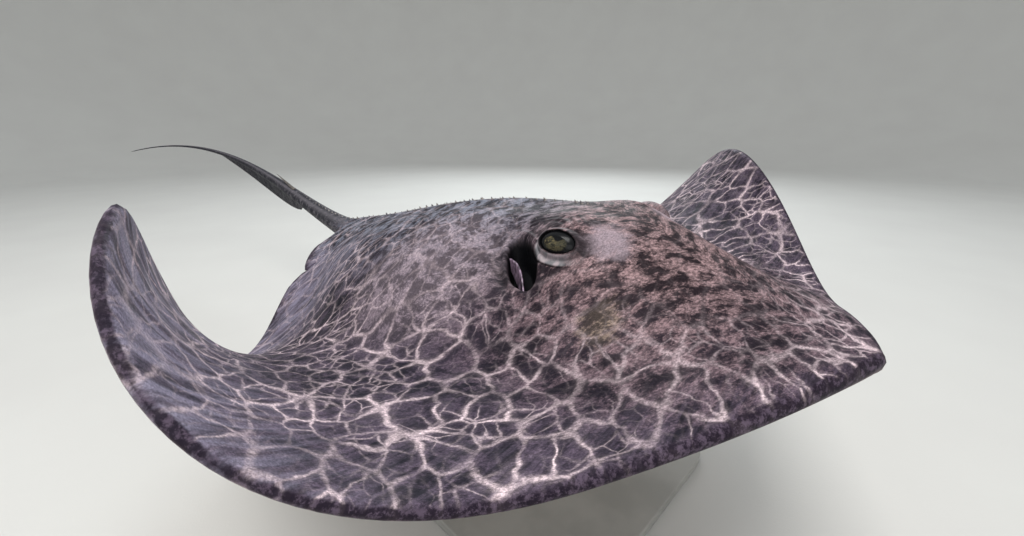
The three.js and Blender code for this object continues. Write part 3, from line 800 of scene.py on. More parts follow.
@dataclass
class Skin:
    """One closed skin over the whole animal, and the shape that everything on it is set by."""

    disc: Disc = field(default_factory=Disc)
    pose: Pose = field(default_factory=Pose)
    spiracle: Spiracle = field(default_factory=Spiracle)
    underside: Underside = field(default_factory=Underside)
    relief: BackRelief = field(default_factory=BackRelief)
    around: int = 256
    disc_rings: int = 112
    tail_rings: int = 56
    margin_share: float = 0.85

    def __post_init__(self) -> None:
        """Sets up the parts that follow from the disc."""
        self.tail = Tail(self.disc)
        self.eye = EyeSite(self.disc)
        self.windows = [
            Window((0.110, 0.440), (-0.01, 0.215), upper=True),
            Window((0.215, 0.362), (0.030, 0.172), upper=True),
            Window((0.228, 0.350), (0.044, 0.162), upper=True, round=True),
            Window((0.238, 0.314), (0.050, 0.126), upper=True, round=True),
            Window((0.160, 0.460), (-0.01, 0.172), upper=False),
            Window((0.170, 0.232), (-0.01, 0.066), upper=False),
            Window((0.276, 0.452), (0.070, 0.166), upper=False),
        ]

    def flat(self, around: Array, along: Array) -> dict[str, Array]:
        """Flat place of each point of the skin's own grid.

        Args:
            around: Share of the way round a section, from the right margin over the back.
            along: Rings behind the snout tip, counted from 0 to 1 on the disc and to 2 on the tail.

        Returns:
            Named arrays: station, lateral, out, share, upper, side and length on the tail.
        """
        quarter = around * 4.0
        inward = np.abs(np.mod(quarter + 1.0, 2.0) - 1.0)
        curve = 1.0 - np.cos(np.pi / 2.0 * inward)
        out = 1.0 - lerp(inward, curve, self.margin_share)
        side = np.where((around < 0.25) | (around > 0.75), -1.0, 1.0)
        share = np.clip(along, 0.0, 1.0) ** self.disc.rib_bias
        spine = self.disc.end * share**self.disc.rib_bias
        margin = self.disc.margin(share)
        return {
            "out": out,
            "side": side,
            "upper": around <= 0.5,
            "share": share,
            "spine": spine,
            "span": np.hypot(margin[:, 0] - spine, margin[:, 1]),
            "station": lerp(spine, margin[:, 0], out),
            "lateral": side * margin[:, 1] * out,
            "length": self.tail.length * np.clip(along - 1.0, 0.0, 1.0),
        }

    def disc_points(self, flat: dict[str, Array]) -> Array:
        """Points of the disc's skin, in the ray's own frame."""
        disc, out, upper = self.disc, flat["out"], flat["upper"]
        station, lateral = flat["station"], flat["lateral"]
        reach = np.abs(lateral)
        rim = disc.rim(flat["share"])
        closing = ease((flat["share"] - disc.closing[0]) / disc.closing[1])
        rounding = lerp(np.minimum(rim * disc.rim_rounding, flat["span"]), flat["span"], closing)
        rounding = np.maximum(rounding, 1e-6)
        edge = edge_round((1.0 - out) * flat["span"], rounding)
        edge = edge * edge_round(flat["spine"], disc.nose_rounding)
        fade = 1.0 - out**disc.edge_fade
        back = disc.dome(station, reach) * fade + lerp(disc.plate_upper, rim, out**2)
        back = back + self.relief.height(station, lateral, flat["share"], out)
        back = back + self.spiracle.height(station, reach)
        under = disc.belly(station, reach) * fade + lerp(disc.plate_lower, rim, out)
        under = under + self.underside.height(station, reach)
        offset = np.where(upper, back, -under) * edge
        return disc.middle(station, lateral) + disc.normal(station, lateral) * offset[:, None]

    def tail_points(self, flat: dict[str, Array]) -> Array:
        """Points of the tail's skin, in the ray's own frame."""
        length = flat["length"]
        centre, _, up, side = self.tail.frames(length)
        half, high, deep = self.tail.sizes(length)
        lift = np.sqrt(np.maximum(1.0 - flat["out"] ** 2, 0.0))
        keel = self.tail.fold(length) * lift**self.tail.fold_edge
        rise = np.where(flat["upper"], lift * high, -lift * deep - keel)
        shut = np.where(length >= self.tail.length - 1e-6, 0.0, 1.0)
        across = flat["out"] * flat["side"] * half * shut
        return centre + side * across[:, None] + up * (rise * shut)[:, None]

    def grid(self) -> bmesh.types.BMesh:
        """The skin's own grid, laid flat and finer where the head needs it."""
        mesh = bmesh.new()
        rings = self.disc_rings + self.tail_rings
        bmesh.ops.create_grid(mesh, x_segments=self.around, y_segments=rings, size=0.5)
        bmesh.ops.translate(mesh, vec=(0.5, 0.5, 0.0), verts=mesh.verts[:])
        bmesh.ops.scale(mesh, vec=(1.0, rings, 1.0), verts=mesh.verts[:])
        for window in self.windows:
            flat = self.flat(*self.places(mesh))
            kept = window.holds(flat["station"], np.abs(flat["lateral"]), flat["upper"])
            kept &= flat["length"] <= 0.0
            edges = [e for e in mesh.edges if kept[e.verts[0].index] and kept[e.verts[1].index]]
            bmesh.ops.subdivide_edges(mesh, edges=edges, cuts=1, use_grid_fill=True)
            mesh.verts.index_update()
        return mesh

    def places(self, mesh: bmesh.types.BMesh) -> tuple[Array, Array]:
        """Grid places of the mesh's vertices, round the section and along the ray."""
        mesh.verts.index_update()
        at = np.array([v.co[:] for v in mesh.verts])
        rings = at[:, 1]
        on_disc = rings / self.disc_rings
        on_tail = 1.0 + (rings - self.disc_rings) / self.tail_rings
        return at[:, 0], np.where(rings <= self.disc_rings, on_disc, on_tail)

    def surface(self, flat: dict[str, Array]) -> tuple[Array, dict[str, Array]]:
        """Points of the skin in the model's frame, with the marks that its finish reads."""
        on_tail = flat["length"] > 0.0
        points = np.where(on_tail[:, None], self.tail_points(flat), self.disc_points(flat))
        reach = np.abs(flat["lateral"])
        pale, black = np.zeros(len(points)), np.zeros(len(points))
        for side in Side:
            here = flat["upper"] & ~on_tail & (np.sign(flat["lateral"]) == side.value)
            # the eye's painted shade joins the holes' painted shade in the black channel
            moved, ring, edge = self.eye.shape(points[here], side)
            points[here] = moved
            pale[here], black[here] = ring, edge
        # painted shade in the breathing holes and the belly's openings
        hole = np.where(
            flat["upper"],
            self.spiracle.dark(flat["station"], reach),
            self.underside.dark(flat["station"], reach),
        )
        hole = np.where(on_tail, 0.0, hole)
        rim_span = np.where(on_tail, 1.0, (1.0 - flat["out"]) * flat["span"])
        belly = np.where(flat["upper"], -1.0, 1.0) * np.where(on_tail, 1.0 - flat["out"], rim_span)
        station = np.where(on_tail, self.disc.end + flat["length"], flat["station"])
        marks = {
            "flat": np.stack([flat["lateral"], station, belly], axis=-1),
            "fan": np.stack([flat["share"], flat["out"], rim_span], axis=-1),
            # pale eye ring, painted shade in black, and tail share
            "marks": np.stack([pale, np.maximum(hole, black), on_tail * 1.0], axis=-1),
        }
        return self.pose.place(points), marks

    def build(self) -> bpy.types.Object:
        """Builds the skin as one mesh.

        Returns:
            The skin's object, riding on the root.
        """
        mesh = self.grid()
        flat = self.flat(*self.places(mesh))
        points, marks = self.surface(flat)
        layers = {name: mesh.verts.layers.float_vector.new(name) for name in marks}
        for vertex, point in zip(mesh.verts, points):
            vertex.co = point
        for name, layer in layers.items():
            for vertex, value in zip(mesh.verts, marks[name]):
                vertex[layer] = value
        bmesh.ops.remove_doubles(mesh, verts=mesh.verts[:], dist=2e-6)
        bmesh.ops.dissolve_degenerate(mesh, edges=mesh.edges[:], dist=1e-7)
        bmesh.ops.recalc_face_normals(mesh, faces=mesh.faces[:])
        return make_piece("ray_skin", mesh)

    def back(self, station: Array, lateral: Array) -> tuple[Array, Array]:
        """Points and normals of the finished back in the model's frame, near the midline."""
        point, normal = self.disc.back_point(station, lateral)
        none = np.zeros_like(station)
        point = point + normal * self.relief.height(station, lateral, none, none)[:, None]
        turn = np.array(self.pose.matrix())[:3, :3]
        return self.pose.place(point), normal @ turn.T


# ---------- meshes ----------


def make_piece(name: str, mesh: bmesh.types.BMesh, smooth: bool = True) -> bpy.types.Object:
    """Turns a bmesh into an object that rides on the root.

    Args:
        name: The piece's name.
        mesh: Its bmesh, which is freed.
        smooth: Whether its faces are shaded smooth.

    Returns:
        The object, at the origin.
    """
    data = bpy.data.meshes.new(name)
    mesh.to_mesh(data)
    mesh.free()
    for polygon in data.polygons:
        polygon.use_smooth = smooth
    piece = bpy.data.objects.new(name, data)
    bpy.context.scene.collection.objects.link(piece)
    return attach(piece, BODY)


def edge_rise(edge: bmesh.types.BMEdge) -> float:
    """How much higher one end of an edge is than the other."""
    return abs(edge.verts[0].co.z - edge.verts[1].co.z)


def round_edges(mesh: bmesh.types.BMesh, edges: list[bmesh.types.BMEdge], offset: float, steps: int) -> None:
    """Rounds edges of a mesh."""
    bmesh.ops.bevel(
        mesh, geom=edges, offset=offset, segments=steps, profile=0.5,
        affect="EDGES", material=-1, offset_type="OFFSET",
    )


def spin_outline(mesh: bmesh.types.BMesh, outline: list[tuple[float, float]], steps: int) -> None:
    """Spins an outline round the upright axis.

    Args:
        mesh: The mesh that takes it.
        outline: Radius and height of its points.
        steps: How many steps go round.
    """
    ring = [mesh.verts.new((radius, 0.0, height)) for radius, height in outline]
    edges = [mesh.edges.new(pair) for pair in zip(ring, ring[1:])]
    bmesh.ops.spin(
        mesh, geom=ring + edges, cent=(0.0, 0.0, 0.0), axis=(0.0, 0.0, 1.0),
        angle=2.0 * math.pi, steps=steps, use_merge=True,
    )
    bmesh.ops.remove_doubles(mesh, verts=mesh.verts[:], dist=MERGE)


@dataclass
class Eyeball:
    """One eyeball, with a shallow well for its pupil."""

    skin: Skin
    side: Side
    segments: int = 64
    rings: int = 40
    pupil: tuple[float, float] = (0.26, 0.44)
    well: float = 0.0009
    well_edge: tuple[float, float] = (0.75, 0.3)

    def build(self) -> bpy.types.Object:
        """Builds the ball in its socket.

        Returns:
            The eyeball's object.
        """
        site = self.skin.eye
        centre, axes = site.frame(self.side)
        mesh = bmesh.new()
        bmesh.ops.create_uvsphere(mesh, u_segments=self.segments, v_segments=self.rings, radius=1.0)
        layer = mesh.verts.layers.float_vector.new("gaze")
        ball = np.array([v.co[:] for v in mesh.verts])
        ball = ball / np.linalg.norm(ball, axis=1, keepdims=True)
        slit = np.hypot(ball[:, 0] / self.pupil[0], ball[:, 1] / self.pupil[1])
        sunk = self.well * (1.0 - ease((slit - self.well_edge[0]) / self.well_edge[1])) * (ball[:, 2] > 0.0)
        local = ball * np.array([site.high, site.long, site.deep])
        local[:, 2] -= sunk
        points = self.skin.pose.place(centre + local @ axes.T)
        for vertex, point, place in zip(mesh.verts, points, ball):
            vertex.co = point
            vertex[layer] = place
        bmesh.ops.recalc_face_normals(mesh, faces=mesh.faces[:])
        name = f"eye_{self.side.name.lower()}"
        piece = make_piece(f"{name}_ball", mesh)
        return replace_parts(piece, name)


@dataclass
class SpiracleValve:
    """The curved flap that stands inside a breathing hole."""

    skin: Skin
    side: Side
    start: tuple[float, float] = (0.323, 0.106)
    end: tuple[float, float] = (0.276, 0.138)
    bow: float = 0.003
    flatter_below: float = 0.7
    top: float = -0.003
    top_sag: float = 0.006
    depth: float = 0.024
    thickness: float = 0.0016
    columns: int = 28
    rows: int = 10

    def build(self) -> bpy.types.Object:
        """Builds the flap.

        Returns:
            The flap's object.
        """
        mesh = bmesh.new()
        bmesh.ops.create_grid(mesh, x_segments=self.columns, y_segments=self.rows, size=1.0)
        at = np.array([v.co[:] for v in mesh.verts])
        share, down = (at[:, 0] + 1.0) / 2.0, (at[:, 1] + 1.0) / 2.0
        belly = np.sin(np.pi * share)
        bow = self.bow * belly * (1.0 - self.flatter_below * down)
        station, reach = (lerp(start, end, share) - bow for start, end in zip(self.start, self.end))
        lateral = self.side.value * reach
        point, normal = self.skin.disc.back_point(station, lateral)
        fall = lerp(self.top - self.top_sag * (1.0 - belly), -self.depth, down)
        points = self.skin.pose.place(point + normal * fall[:, None])
        for vertex, place in zip(mesh.verts, points):
            vertex.co = place
        bmesh.ops.recalc_face_normals(mesh, faces=mesh.faces[:])
        bmesh.ops.solidify(mesh, geom=mesh.faces[:], thickness=self.thickness)
        bmesh.ops.recalc_face_normals(mesh, faces=mesh.faces[:])
        piece = make_piece(f"spiracle_valve_{self.side.name.lower()}", mesh)
        return piece


@dataclass
class Thorns:
    """Thorns down the midline, and the prickles scattered beside them."""

    skin: Skin
    radius: float = 0.0035
    height: float = 0.0045
    sink: float = 0.0030
    lean: float = 0.6
    back: tuple[float, float, int] = (0.292, 0.862, 44)
    tail: tuple[float, float, int] = (0.018, 0.340, 16)
    tail_shrink: float = 0.45
    sides: int = 9
    foot: float = 1.15
    point: float = 0.08
    sizes: tuple[float, float] = (0.35, 1.0)
    gap_change: float = 0.006
    stray: float = 0.0012
    prickles: int = 420
    prickle_size: float = 0.26
    prickle_sizes: tuple[float, float] = (0.6, 1.3)
    prickle_along: tuple[float, float] = (0.240, 0.870)
    prickle_stray: float = 0.012
    nape: Dent = Dent(0.022, 0.36, 0.0, 0.12)
    prickle_limit: float = 3.0
    patch: float = 0.0015
    unwrap: float = 0.40
    seed: int = 7

    def spike(
        self, mesh: bmesh.types.BMesh, place: tuple[Array, ...], size: float, root: tuple[float, float]
    ) -> None:
        """Adds one thorn.

        Args:
            mesh: The mesh that takes it.
            place: Its root, the skin's normal and the way back along the ray.
            size: Its size as a share of the largest thorn.
            root: The flat lateral and station of its root, for its own patch of the unwrap.
        """
        point, normal, back = (Vector(v) for v in place)
        axis = (normal + back * self.lean).normalized()
        tall = self.height * size + self.sink
        turn = Matrix.Translation(point + axis * (tall / 2.0 - self.sink))
        turn = turn @ axis.to_track_quat("Z", "Y").to_matrix().to_4x4()
        made = bmesh.ops.create_cone(
            mesh, cap_ends=True, cap_tris=True, segments=self.sides,
            radius1=self.radius * size * self.foot, radius2=self.radius * size * self.point,
            depth=tall, matrix=turn,
        )
        layer = mesh.loops.layers.uv.active
        inverse = turn.inverted()
        middle = np.array([0.5 + root[0] * self.unwrap, root[1] * self.unwrap])
        for face in {f for v in made["verts"] for f in v.link_faces}:
            for loop in face.loops:
                local = inverse @ loop.vert.co
                off = np.array([local.x, local.y]) / (self.radius * size * self.foot)
                loop[layer].uv = middle + off * self.patch

    def tail_place(self, length: float) -> tuple[Array, Array, Array]:
        """Root, normal and back direction of a thorn on top of the tail."""
        at = np.array([length])
        centre, forward, up, _ = self.skin.tail.frames(at)
        top = centre + up * self.skin.tail.sizes(at)[1][:, None]
        turn = np.array(self.skin.pose.matrix())[:3, :3]
        return self.skin.pose.place(top)[0], (up @ turn.T)[0], (forward @ turn.T)[0]

    def back_place(self, station: float, lateral: float) -> tuple[Array, Array, Array]:
        """Root, normal and back direction of a thorn on the back."""
        point, normal = self.skin.back(np.array([station]), np.array([lateral]))
        return point[0], normal[0], np.array([0.0, 1.0, 0.0])

    def build(self) -> bpy.types.Object:
        """Builds the thorns and prickles as one joined mesh.

        Returns:
            The thorns' object.
        """
        random = np.random.default_rng(self.seed)
        mesh = bmesh.new()
        mesh.loops.layers.uv.new("OFBake")
        first, last, count = self.back
        for station in np.linspace(first, last, count):
            station += random.uniform(-self.gap_change, self.gap_change)
            lateral = random.normal(0.0, self.stray)
            size = random.uniform(*self.sizes)
            self.spike(mesh, self.back_place(station, lateral), size, (lateral, station))
        first, last, count = self.tail
        for i, length in enumerate(np.linspace(first, last, count)):
            size = 1.0 - self.tail_shrink * i / (count - 1)
            self.spike(mesh, self.tail_place(length), size, (0.0, self.skin.disc.end + length))
        for _ in range(self.prickles):
            station = random.uniform(*self.prickle_along)
            stray = self.prickle_stray + self.nape.at(station, 0.0)
            lateral = random.normal(0.0, stray)
            size = self.prickle_size * random.uniform(*self.prickle_sizes)
            if abs(lateral) < self.prickle_limit * stray:
                self.spike(mesh, self.back_place(station, lateral), size, (lateral, station))
        return make_piece("midline_thorns", mesh, smooth=False)


@dataclass
class Sting:
    """The barbed sting that lies along the top of the tail."""

    skin: Skin
    root: float = 0.430
    length: float = 0.132
    half_width: float = 0.0046
    half_height: float = 0.0021
    lift: float = 0.085
    rings: int = 26
    sides: int = 12
    taper: tuple[float, float] = (1.6, 0.06)
    groove: tuple[float, float] = (0.35, 0.35)
    barbs: int = 22
    barb: float = 0.0026
    barb_along: tuple[float, float] = (0.30, 0.94)
    barb_reach: float = 0.86
    barb_back: float = 0.3
    barb_lean: float = 0.55
    barb_section: tuple[float, float] = (0.0007, 0.0006)
    barb_sides: int = 5
    barb_point: float = 0.1

    def frame(self) -> tuple[Vector, Vector, Vector, Vector]:
        """Root, direction, side and up of the blade, in the model's frame."""
        at = np.array([self.root])
        centre, forward, up, side = self.skin.tail.frames(at)
        start = centre + up * self.skin.tail.sizes(at)[1][:, None]
        turn = self.skin.pose.matrix().to_3x3()
        along = turn @ Vector(forward[0] + up[0] * self.lift)
        return (
            Vector(self.skin.pose.place(start)[0]),
            along.normalized(),
            turn @ Vector(side[0]),
            turn @ Vector(up[0]),
        )

    def width(self, share: float) -> float:
        """Width of the blade at a share of its length, as a share of the widest."""
        power, point = self.taper
        return (1.0 - share**power) * (1.0 - point) + point

    def add_barb(self, mesh: bmesh.types.BMesh, share: float, sign: float) -> None:
        """Adds one barb to the blade.

        Args:
            mesh: The blade's mesh, before it is set on the tail.
            share: Its place as a share of the blade's length.
            sign: The side it is on.
        """
        reach = sign * self.half_width * self.width(share) * self.barb_reach
        point = Matrix.Translation((reach, 0.0, share * self.length - self.barb * self.barb_back))
        lean = Vector((sign * self.barb_lean, 0.0, -1.0)).normalized().to_track_quat("Z", "Y")
        flat = Matrix.Diagonal((*self.barb_section, 1.0, 1.0))
        bmesh.ops.create_cone(
            mesh, cap_ends=True, cap_tris=True, segments=self.barb_sides, radius1=1.0,
            radius2=self.barb_point, depth=self.barb, matrix=point @ lean.to_matrix().to_4x4() @ flat,
        )

    def build(self) -> bpy.types.Object:
        """Builds the blade with its barbs.

        Returns:
            The sting's object.
        """
        root, along, side, up = self.frame()
        basis = Matrix((side, up, along)).transposed().to_4x4()
        basis.translation = root
        mesh = bmesh.new()
        bmesh.ops.create_cone(
            mesh, cap_ends=True, cap_tris=True, segments=self.sides, radius1=1.0, radius2=1.0, depth=1.0,
        )
        lengthwise = [e for e in mesh.edges if edge_rise(e) > 0.5]
        bmesh.ops.subdivide_edges(mesh, edges=lengthwise, cuts=self.rings - 1)
        for vertex in mesh.verts:
            share = vertex.co.z + 0.5
            width = self.width(share)
            groove = 1.0 - self.groove[0] * bell(vertex.co.x, self.groove[1]) * (vertex.co.y > 0.0)
            vertex.co.x *= self.half_width * width
            vertex.co.y *= self.half_height * width * groove
            vertex.co.z = share * self.length
        for share in np.linspace(*self.barb_along, self.barbs):
            for sign in (-1.0, 1.0):
                self.add_barb(mesh, share, sign)
        bmesh.ops.transform(mesh, matrix=basis, verts=mesh.verts[:])
        bmesh.ops.recalc_face_normals(mesh, faces=mesh.faces[:])
        piece = make_piece("tail_sting", mesh)
        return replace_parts(piece, "sting")


# ---------- the stand ----------


@dataclass
class Stand:
    """A flat base with two rods up to the belly."""

    skin: Skin
    belly: BVHTree
    base: tuple[float, float, float] = (0.400, 0.660, 0.014)
    corner: float = 0.070
    corner_steps: int = 16
    bevel: float = 0.0025
    bevel_steps: int = 4
    rod_radius: float = 0.012
    foot: tuple[float, float] = (0.040, 0.009)
    saddle: tuple[float, float] = (0.027, 0.034)
    neck: float = 0.026
    stations: tuple[float, float] = (0.345, 0.655)
    gap: float = 0.0003
    cut_share: float = 0.75
    cut_from: float = 0.02
    steps: int = 72

    def build_base(self) -> bpy.types.Object:
        """Builds the base plate with round corners and a softened edge."""
        thickness = self.base[2]
        mesh = bmesh.new()
        bmesh.ops.create_cube(mesh, size=1.0)
        bmesh.ops.scale(mesh, vec=self.base, verts=mesh.verts[:])
        bmesh.ops.translate(mesh, vec=(0.0, 0.0, thickness / 2.0), verts=mesh.verts[:])
        upright = [e for e in mesh.edges if edge_rise(e) > thickness / 2.0]
        round_edges(mesh, upright, self.corner, self.corner_steps)
        flat = [e for e in mesh.edges if edge_rise(e) < MERGE]
        rims = [e for e in flat if any(abs(f.normal.z) < 0.5 for f in e.link_faces)]
        round_edges(mesh, rims, self.bevel, self.bevel_steps)
        bmesh.ops.recalc_face_normals(mesh, faces=mesh.faces[:])
        piece = make_piece("base_plate", mesh, smooth=False)
        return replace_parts(piece, "stand_base")

    def profile(self, foot: float, top: float) -> list[tuple[float, float]]:
        """Radius and height of the rod's outline, from its foot up to the middle of its pad."""
        wide, high = self.foot
        saddle, saddle_high = self.saddle
        radius, low = self.rod_radius, top - saddle_high
        plate = [
            (0.0, foot), (wide - 0.001, foot), (wide, foot + 0.001), (wide, foot + high - 0.002),
            (wide - 0.0008, foot + high - 0.0006), (wide - 0.003, foot + high),
        ]
        stem = [
            (radius + 0.004, foot + high + 0.0015), (radius + 0.001, foot + high + 0.004),
            (radius, foot + high + 0.009), (radius, low - self.neck),
            (radius + 0.001, low - 0.7 * self.neck), (radius + 0.004, low - 0.35 * self.neck),
        ]
        pad = [
            (saddle - 0.003, low - 0.002), (saddle - 0.0006, low), (saddle, low + 0.003),
            (saddle, top - 0.5 * saddle_high),
        ]
        return plate + stem + pad + [(saddle * share, top) for share in (1.0, 0.66, 0.33, 0.0)]

    def build_rod(self, name: str, station: float) -> bpy.types.Object:
        """Builds one rod, its saddle cut to the belly that rests on it.

        Args:
            name: The name of the rod's node, which the piece replaces.
            station: The station of the ray that it holds.

        Returns:
            The rod's object.
        """
        spot = self.skin.pose.matrix() @ Vector((0.0, station, 0.0))
        outline = self.profile(self.base[2] + self.gap, spot.z)
        mesh = bmesh.new()
        spin_outline(mesh, outline, self.steps)
        bmesh.ops.translate(mesh, vec=(spot.x, spot.y, 0.0), verts=mesh.verts[:])
        for vertex in mesh.verts:
            if vertex.co.z > spot.z - self.saddle[1] * self.cut_share:
                start = Vector((vertex.co.x, vertex.co.y, self.base[2] + self.cut_from))
                hit = self.belly.ray_cast(start, Vector((0.0, 0.0, 1.0)))[0]
                vertex.co.z = min(vertex.co.z, hit.z - self.gap)
        bmesh.ops.recalc_face_normals(mesh, faces=mesh.faces[:])
        piece = make_piece(name.replace("stand_rod_", "rod_"), mesh)
        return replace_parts(piece, name)


# ---------- finishes ----------


@dataclass(frozen=True)
class Ramp:
    """An eased change: the two values it is read between, and what it gives at each."""

    low: float
    high: float
    start: float = 0.0
    end: float = 1.0


@dataclass(frozen=True)
class Noise:
    """Cloudy noise: how fine it is, how many layers it has and how rough they are."""

    scale: float
    detail: float = 2.0
    rough: float = 0.5


@dataclass(frozen=True)
class Mottle:
    """Patches that a ramp cuts out of cloudy noise."""

    noise: Noise
    ramp: Ramp


@dataclass(frozen=True)
class Relief:
    """Small bumps: the noise that shapes them, their height and how strongly they show."""

    noise: Noise
    height: float
    strength: float


@dataclass(frozen=True)
class Patch:
    """A round place on the flat ray, faded by a ramp and ragged at its edge."""

    lateral: float
    station: float
    ramp: Ramp
    ragged: float = 0.0
    noise: Noise = Noise(60.0, 4.0, 0.6)
    squash: float = 1.0


class Shader:
    """One material's node tree, built a node at a time."""

    def __init__(self, name: str) -> None:
        """Starts the material with an empty principled surface.

        Args:
            name: The material's name.
        """
        self.material = bpy.data.materials.new(name)
        self.material.use_nodes = True
        self.tree = self.material.node_tree
        self.tree.nodes.clear()
        self.surface = self.add("ShaderNodeBsdfPrincipled", {})
        self.add("ShaderNodeOutputMaterial", {"Surface": self.surface.outputs[0]})

    def add(self, kind: str, inputs: dict, **settings: object) -> bpy.types.Node:
        """Adds a node.

        Args:
            kind: The node's type.
            inputs: Its sockets by name or number, each a value or another node's output.
            settings: Its own settings.

        Returns:
            The node.
        """
        node = self.tree.nodes.new(kind)
        for name, value in settings.items():
            setattr(node, name, value)
        for name, value in inputs.items():
            self.plug(node.inputs[name], value)
        return node

    def plug(self, socket: Socket, value: object) -> None:
        """Links a socket to an output, or sets its value."""
        if isinstance(value, Socket):
            self.tree.links.new(value, socket)
        else:
            socket.default_value = value

    def attribute(self, name: str) -> Socket:
        """A vector that the mesh carries."""
        return self.add("ShaderNodeAttribute", {}, attribute_name=name).outputs["Vector"]

    def parts(self, vector: Socket) -> list[Socket]:
        """The three numbers of a vector."""
        return list(self.add("ShaderNodeSeparateXYZ", {0: vector}).outputs)

    def place(self) -> Socket:
        """The object's own coordinates."""
        return self.add("ShaderNodeTexCoord", {}).outputs["Object"]

    def scaled(self, vector: Socket, scale: Colour) -> Socket:
        """A vector stretched along its axes."""
        return self.add("ShaderNodeMapping", {"Vector": vector, "Scale": scale}).outputs[0]

    def noise(self, vector: Socket, noise: Noise, colour: bool = False) -> Socket:
        """Cloudy noise, as a number or as a colour."""
        inputs = {"Vector": vector, "Scale": noise.scale, "Detail": noise.detail, "Roughness": noise.rough}
        return self.add("ShaderNodeTexNoise", inputs).outputs["Color" if colour else "Fac"]

    def cells(self, vector: Socket, scale: float, feature: str = "DISTANCE_TO_EDGE") -> Socket:
        """Distance to the edge or the middle of round cells."""
        inputs = {"Vector": vector, "Scale": scale}
        node = self.add("ShaderNodeTexVoronoi", inputs, feature=feature, voronoi_dimensions="2D")
        return node.outputs["Distance"]

    def math(self, operation: str, *values: object) -> Socket:
        """One sum of one, two or three numbers."""
        return self.add("ShaderNodeMath", dict(enumerate(values)), operation=operation).outputs[0]

    def times(self, first: object, *others: object) -> Socket:
        """The product of numbers."""
        for other in others:
            first = self.math("MULTIPLY", first, other)
        return first

    def plus(self, first: object, second: object) -> Socket:
        """The sum of two numbers."""
        return self.math("ADD", first, second)

    def away(self, first: object, second: object, scales: tuple[float, float] = (1.0, 1.0)) -> Socket:
        """Distance from the middle of a round or oval place."""
        pairs = zip((first, second), scales)
        squares = [self.math("POWER", self.times(value, scale), 2.0) for value, scale in pairs]
        return self.math("SQRT", self.plus(*squares))

    def warp(self, vector: Socket, noise: Noise, amount: float) -> Socket:
        """A vector pushed about by noise."""
        cloud = self.noise(vector, noise, colour=True)
        push = self.add("ShaderNodeVectorMath", {0: cloud, 1: (0.5,) * 3}, operation="SUBTRACT")
        inputs = {0: push.outputs[0], 1: (amount,) * 3, 2: vector}
        return self.add("ShaderNodeVectorMath", inputs, operation="MULTIPLY_ADD").outputs[0]

    def band(self, value: object, ramp: Ramp) -> Socket:
        """A value eased by a ramp."""
        inputs = {
            "Value": value, "From Min": ramp.low, "From Max": ramp.high,
            "To Min": ramp.start, "To Max": ramp.end,
        }
        return self.add("ShaderNodeMapRange", inputs, interpolation_type="SMOOTHSTEP").outputs[0]

    def mottle(self, vector: Socket, mottle: Mottle) -> Socket:
        """Patches of cloudy noise, as a share."""
        return self.band(self.noise(vector, mottle.noise), mottle.ramp)

    def patch(self, flat: Socket, across: Socket, patch: Patch) -> Socket:
        """How much of a round place's colour shows.

        Args:
            flat: The skin's flat lateral, station and belly.
            across: The lateral, or its size where the place is on both sides.
            patch: The place.

        Returns:
            The share of its colour.
        """
        station = self.parts(flat)[1]
        offs = self.plus(across, -patch.lateral), self.plus(station, -patch.station)
        away = self.away(*offs, (1.0, patch.squash))
        if patch.ragged:
            away = self.plus(away, self.times(self.noise(flat, patch.noise), patch.ragged))
        return self.band(away, patch.ramp)

    def mix(self, share: object, first: object, second: object, blend: str = "MIX") -> Socket:
        """One colour blended over another by a share."""
        values = [v if isinstance(v, Socket) else (*v, 1.0) for v in (first, second)]
        inputs = {0: share, 6: values[0], 7: values[1]}
        return self.add("ShaderNodeMix", inputs, data_type="RGBA", blend_type=blend).outputs[2]

    def bump(self, vector: Socket, relief: Relief, under: Socket | None = None) -> Socket:
        """Small bumps, over those beneath."""
        inputs = {
            "Height": self.noise(vector, relief.noise),
            "Distance": relief.height,
            "Strength": relief.strength,
        }
        if under is not None:
            inputs["Normal"] = under
        return self.add("ShaderNodeBump", inputs).outputs[0]

    def finish(self, sockets: dict) -> bpy.types.Material:
        """Plugs the surface's sockets and returns the material."""
        for name, value in sockets.items():
            self.plug(self.surface.inputs[name], value)
        return self.material


